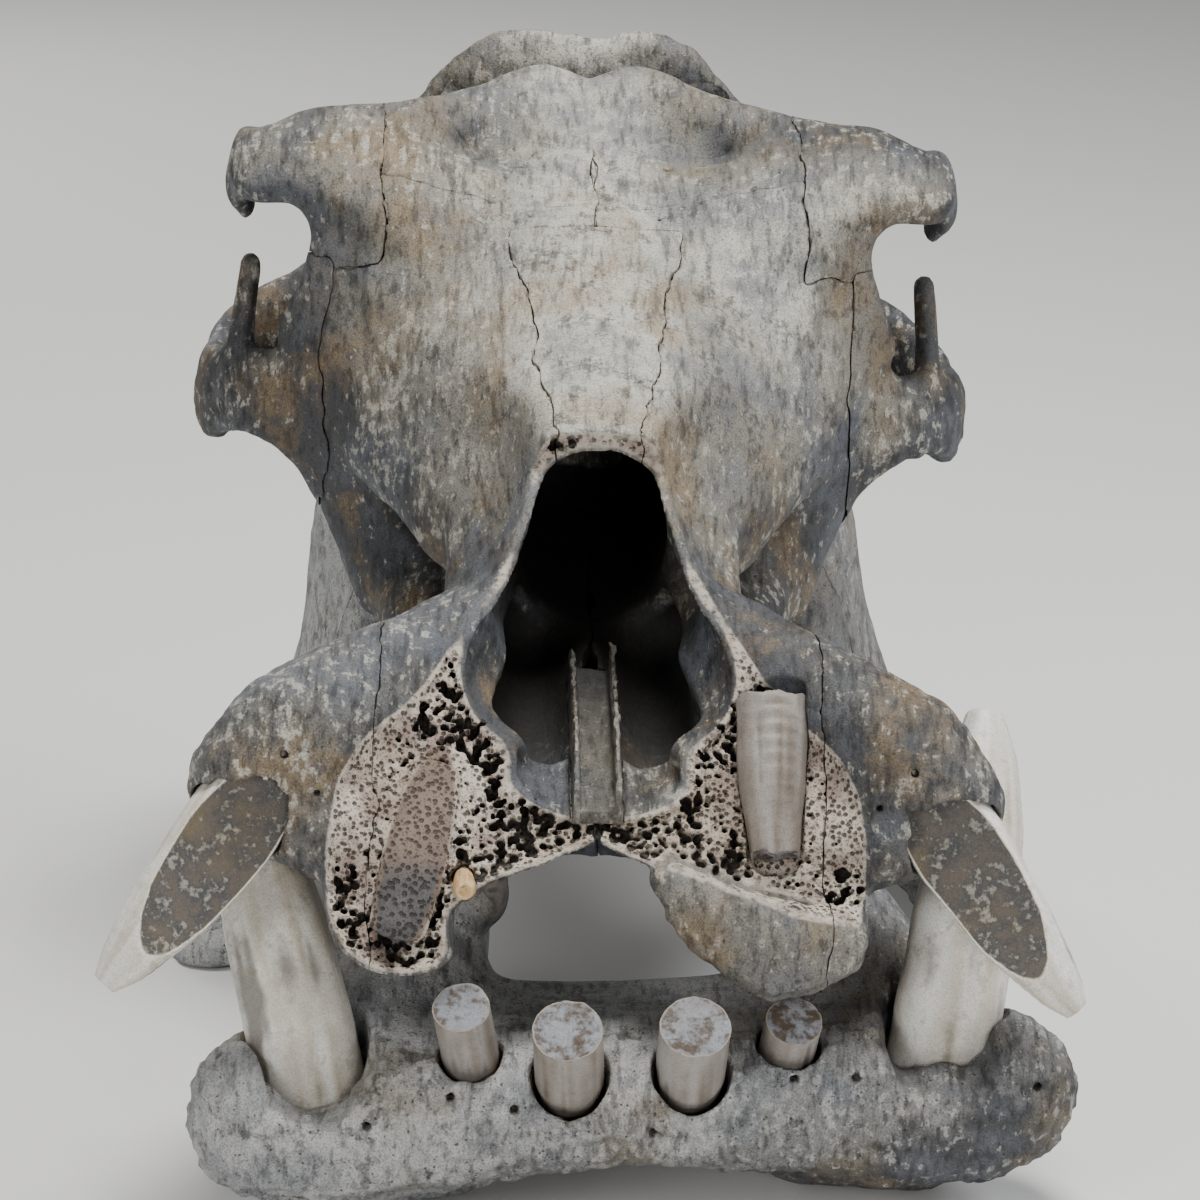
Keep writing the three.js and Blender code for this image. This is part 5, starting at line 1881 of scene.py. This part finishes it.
@dataclass(frozen=True)
class PlainGround:
    """Matt pale paper under the skull."""

    shade: Rgb = (0.74, 0.74, 0.73)

    def make(self) -> bpy.types.Material:
        """Builds the material."""
        s = Shader("pale_floor")
        cloud = s.noise(400, 3)
        colour = s.blend(cloud * 0.3, self.shade, tuple(0.93 * c for c in self.shade))
        return s.finish(colour, 0.85 + cloud * 0.05, s.noise(2.0, 2), 0.05, Specular_IOR_Level=0.2)


CRANIUM_BONE = FossilBone(
    name="cranium_bone",
    light=rgb("bdbab0"),
    middle=rgb("7f7b72"),
    dark=rgb("46474a"),
    ochre=rgb("8a7556"),
    cool=rgb("686c74"),
    pale=rgb("c0bdb2"),
    spongy=rgb("8f7f76"),
    crumb=rgb("c2b8aa"),
    root=rgb("76655a"),
    dirt=rgb("1d1712"),
)
MANDIBLE_BONE = FossilBone(
    name="mandible_bone",
    light=rgb("b4b4b2"),
    middle=rgb("82817f"),
    dark=rgb("4a4b4e"),
    ochre=rgb("7f735f"),
    cool=rgb("6c7078"),
    pale=rgb("bdbcb8"),
    spongy=rgb("85796f"),
    crumb=rgb("bdb6aa"),
    root=rgb("85705f"),
    dirt=rgb("1d1813"),
    pits=0.8,
)
CANINE_IVORY = Ivory(
    name="canine_ivory",
    pale=rgb("f2f0ea"),
    cream=rgb("cdc5b4"),
    stain=rgb("5f574e"),
    worn=rgb("3f4144"),
    rust=rgb("84703f"),
    edge=rgb("e6dfcc"),
    rim=(0.03, 0.10),
)
WORN_DENTINE = Ivory(
    name="worn_tooth",
    pale=rgb("a09b96"),
    cream=rgb("837a70"),
    stain=rgb("54483d"),
    worn=rgb("8b9098"),
    rust=rgb("7f684c"),
    edge=rgb("9a8f80"),
    rim=(0.02, 0.10),
)
SMALL_ENAMEL = Ivory(
    name="small_tooth_enamel",
    pale=rgb("dcc193"),
    cream=rgb("c08a50"),
    stain=rgb("7a4f2a"),
    worn=rgb("c9a878"),
    rust=rgb("a8652f"),
    edge=rgb("dcc193"),
    rim=(0.02, 0.10),
)


# ---- the studio ----------------------------------------------------------------------------------


@dataclass(frozen=True)
class SoftLight:
    """A rectangular soft light aimed at the skull. Lengths in m, power in W."""

    name: str
    at: Triple
    size: float
    power: float
    colour: Rgb
    aim: Triple = (0.0, 0.0, 0.22)

    def build(self) -> None:
        """Hangs the light."""
        lamp = bpy.data.lights.new(self.name, "AREA")
        lamp.size = self.size
        lamp.energy = self.power
        lamp.color = self.colour
        stand = bpy.data.objects.new(self.name, lamp)
        stand.location = self.at
        way = np.array(self.aim) - np.array(self.at)
        stand.rotation_euler = Vector(way).to_track_quat("-Z", "Y").to_euler()
        bpy.context.scene.collection.objects.link(stand)


@dataclass(frozen=True)
class Studio:
    """The pale floor, the lights and the camera. Lengths in mm unless a field says otherwise."""

    target: Triple = (0.6, -22.5, 236.0)
    distance: float = 2500.0
    elevation: float = 18.0
    lens: float = 143.55
    floor_half: float = 6000.0
    sky: float = 0.13
    lights: tuple[SoftLight, ...] = (
        SoftLight("top_light", (0.25, 0.1, 2.5), 0.9, 70.0, (1.0, 0.99, 0.96)),
        SoftLight("front_light", (-1.5, -2.2, 1.2), 0.9, 26.0, (1.0, 0.99, 0.97)),
        SoftLight("side_light", (2.0, -0.2, 1.5), 0.9, 30.0, (0.95, 0.97, 1.0)),
        SoftLight("back_light", (-1.2, 2.6, 1.3), 1.0, 24.0, (1.0, 0.99, 0.97)),
        SoftLight("nose_light", (0.6, -2.6, 0.8), 0.5, 16.0, (1.0, 0.98, 0.97)),
    )

    def build(self) -> None:
        """Sets the studio up."""
        camera = bpy.data.objects.new("camera", bpy.data.cameras.new("camera"))
        camera.data.lens = self.lens
        camera.data.sensor_width = 36.0
        camera.data.clip_end = 50.0
        angle = math.radians(self.elevation)
        back = np.array([0, -math.cos(angle), math.sin(angle)])
        camera.location = (np.array(self.target) + back * self.distance) * MM
        camera.rotation_euler = Vector(-back).to_track_quat("-Z", "Y").to_euler()
        bpy.context.scene.collection.objects.link(camera)
        bpy.context.scene.camera = camera
        self.floor()
        for light in self.lights:
            light.build()
        world = bpy.data.worlds.new("studio")
        world.use_nodes = True
        world.node_tree.nodes["Background"].inputs["Color"].default_value = (1.0, 1.0, 1.0, 1.0)
        world.node_tree.nodes["Background"].inputs["Strength"].default_value = self.sky
        bpy.context.scene.world = world

    def floor(self) -> None:
        """Lays the floor."""
        h = self.floor_half * MM
        corners = np.array([[-h, -h, 0], [h, -h, 0], [h, h, 0], [-h, h, 0]])
        piece = make_object("floor", corners, np.array([[0, 1, 2, 3]]), PlainGround().make())


# ---- the whole skull -----------------------------------------------------------------------------


def build_teeth(cranium: Pose, mandible: Pose, ivory: bpy.types.Material, worn: bpy.types.Material) -> None:
    """Makes the teeth.

    Args:
        cranium: How the cranium lies.
        mandible: How the mandible lies.
        ivory: The finish of the canines.
        worn: The finish of the other teeth.
    """
    canine = partial(Tooth, slot=Slot.IVORY)
    incisor = partial(Tooth, pose=mandible, slot=Slot.WORN, ridge=0.6, cell=1.0, broken=0.9)
    for n, side in enumerate(Half):
        label = side.label
        upper, facets = UPPER_CANINE.on(side), (UPPER_FACET.on(side),)
        canine(f"upper_canine_{label}", upper, cranium, facets=facets, ridge=0.45, seed=31 + n).build(ivory)
        lower, facets = LOWER_CANINE.on(side), (LOWER_FACET.on(side),)
        tooth = canine(
            f"lower_canine_{label}", lower, mandible, facets=facets, ridge=1.15, wave=4.2, seed=41 + n
        )
        tooth.build(ivory)
        incisor(f"lower_incisor_1_{label}", INNER_INCISOR.on(side), seed=51 + n).build(worn)
        outer = SHORT_INCISOR if side is Half.LEFT else OUTER_INCISOR.on(side)
        incisor(f"lower_incisor_2_{label}", outer, seed=61 + n).build(worn)
    upper = partial(Tooth, pose=cranium, slot=Slot.WORN)
    root = upper("upper_incisor_root_left", INCISOR_ROOT, ridge=0.8, cell=0.9, broken=2.2, seed=71)
    root.build(worn)
    peg = upper("upper_peg_tooth_right", PEG.on(Half.RIGHT), ridge=0.3, wave=2.0, cell=0.6, seed=72)
    peg.build(SMALL_ENAMEL.make())
    for side in Half:
        CheekTeeth(cranium, True, *UPPER_ROW).build(side, worn)
        CheekTeeth(mandible, False, *LOWER_ROW).build(side, worn)


def main() -> None:
    """Builds the skull and its studio."""
    logging.basicConfig(level=logging.INFO, format="%(name)s: %(message)s")
    Studio().build()
    bone, jaw_bone = CRANIUM_BONE.make(), MANDIBLE_BONE.make()
    ivory, worn = CANINE_IVORY.make(), WORN_DENTINE.make()
    cranium, mandible = Cranium(), Mandible()
    cranium.build(bone)
    mandible.build(jaw_bone)
    build_teeth(cranium.pose, mandible.pose, ivory, worn)
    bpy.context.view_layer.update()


if __name__ == "__main__":
    main()
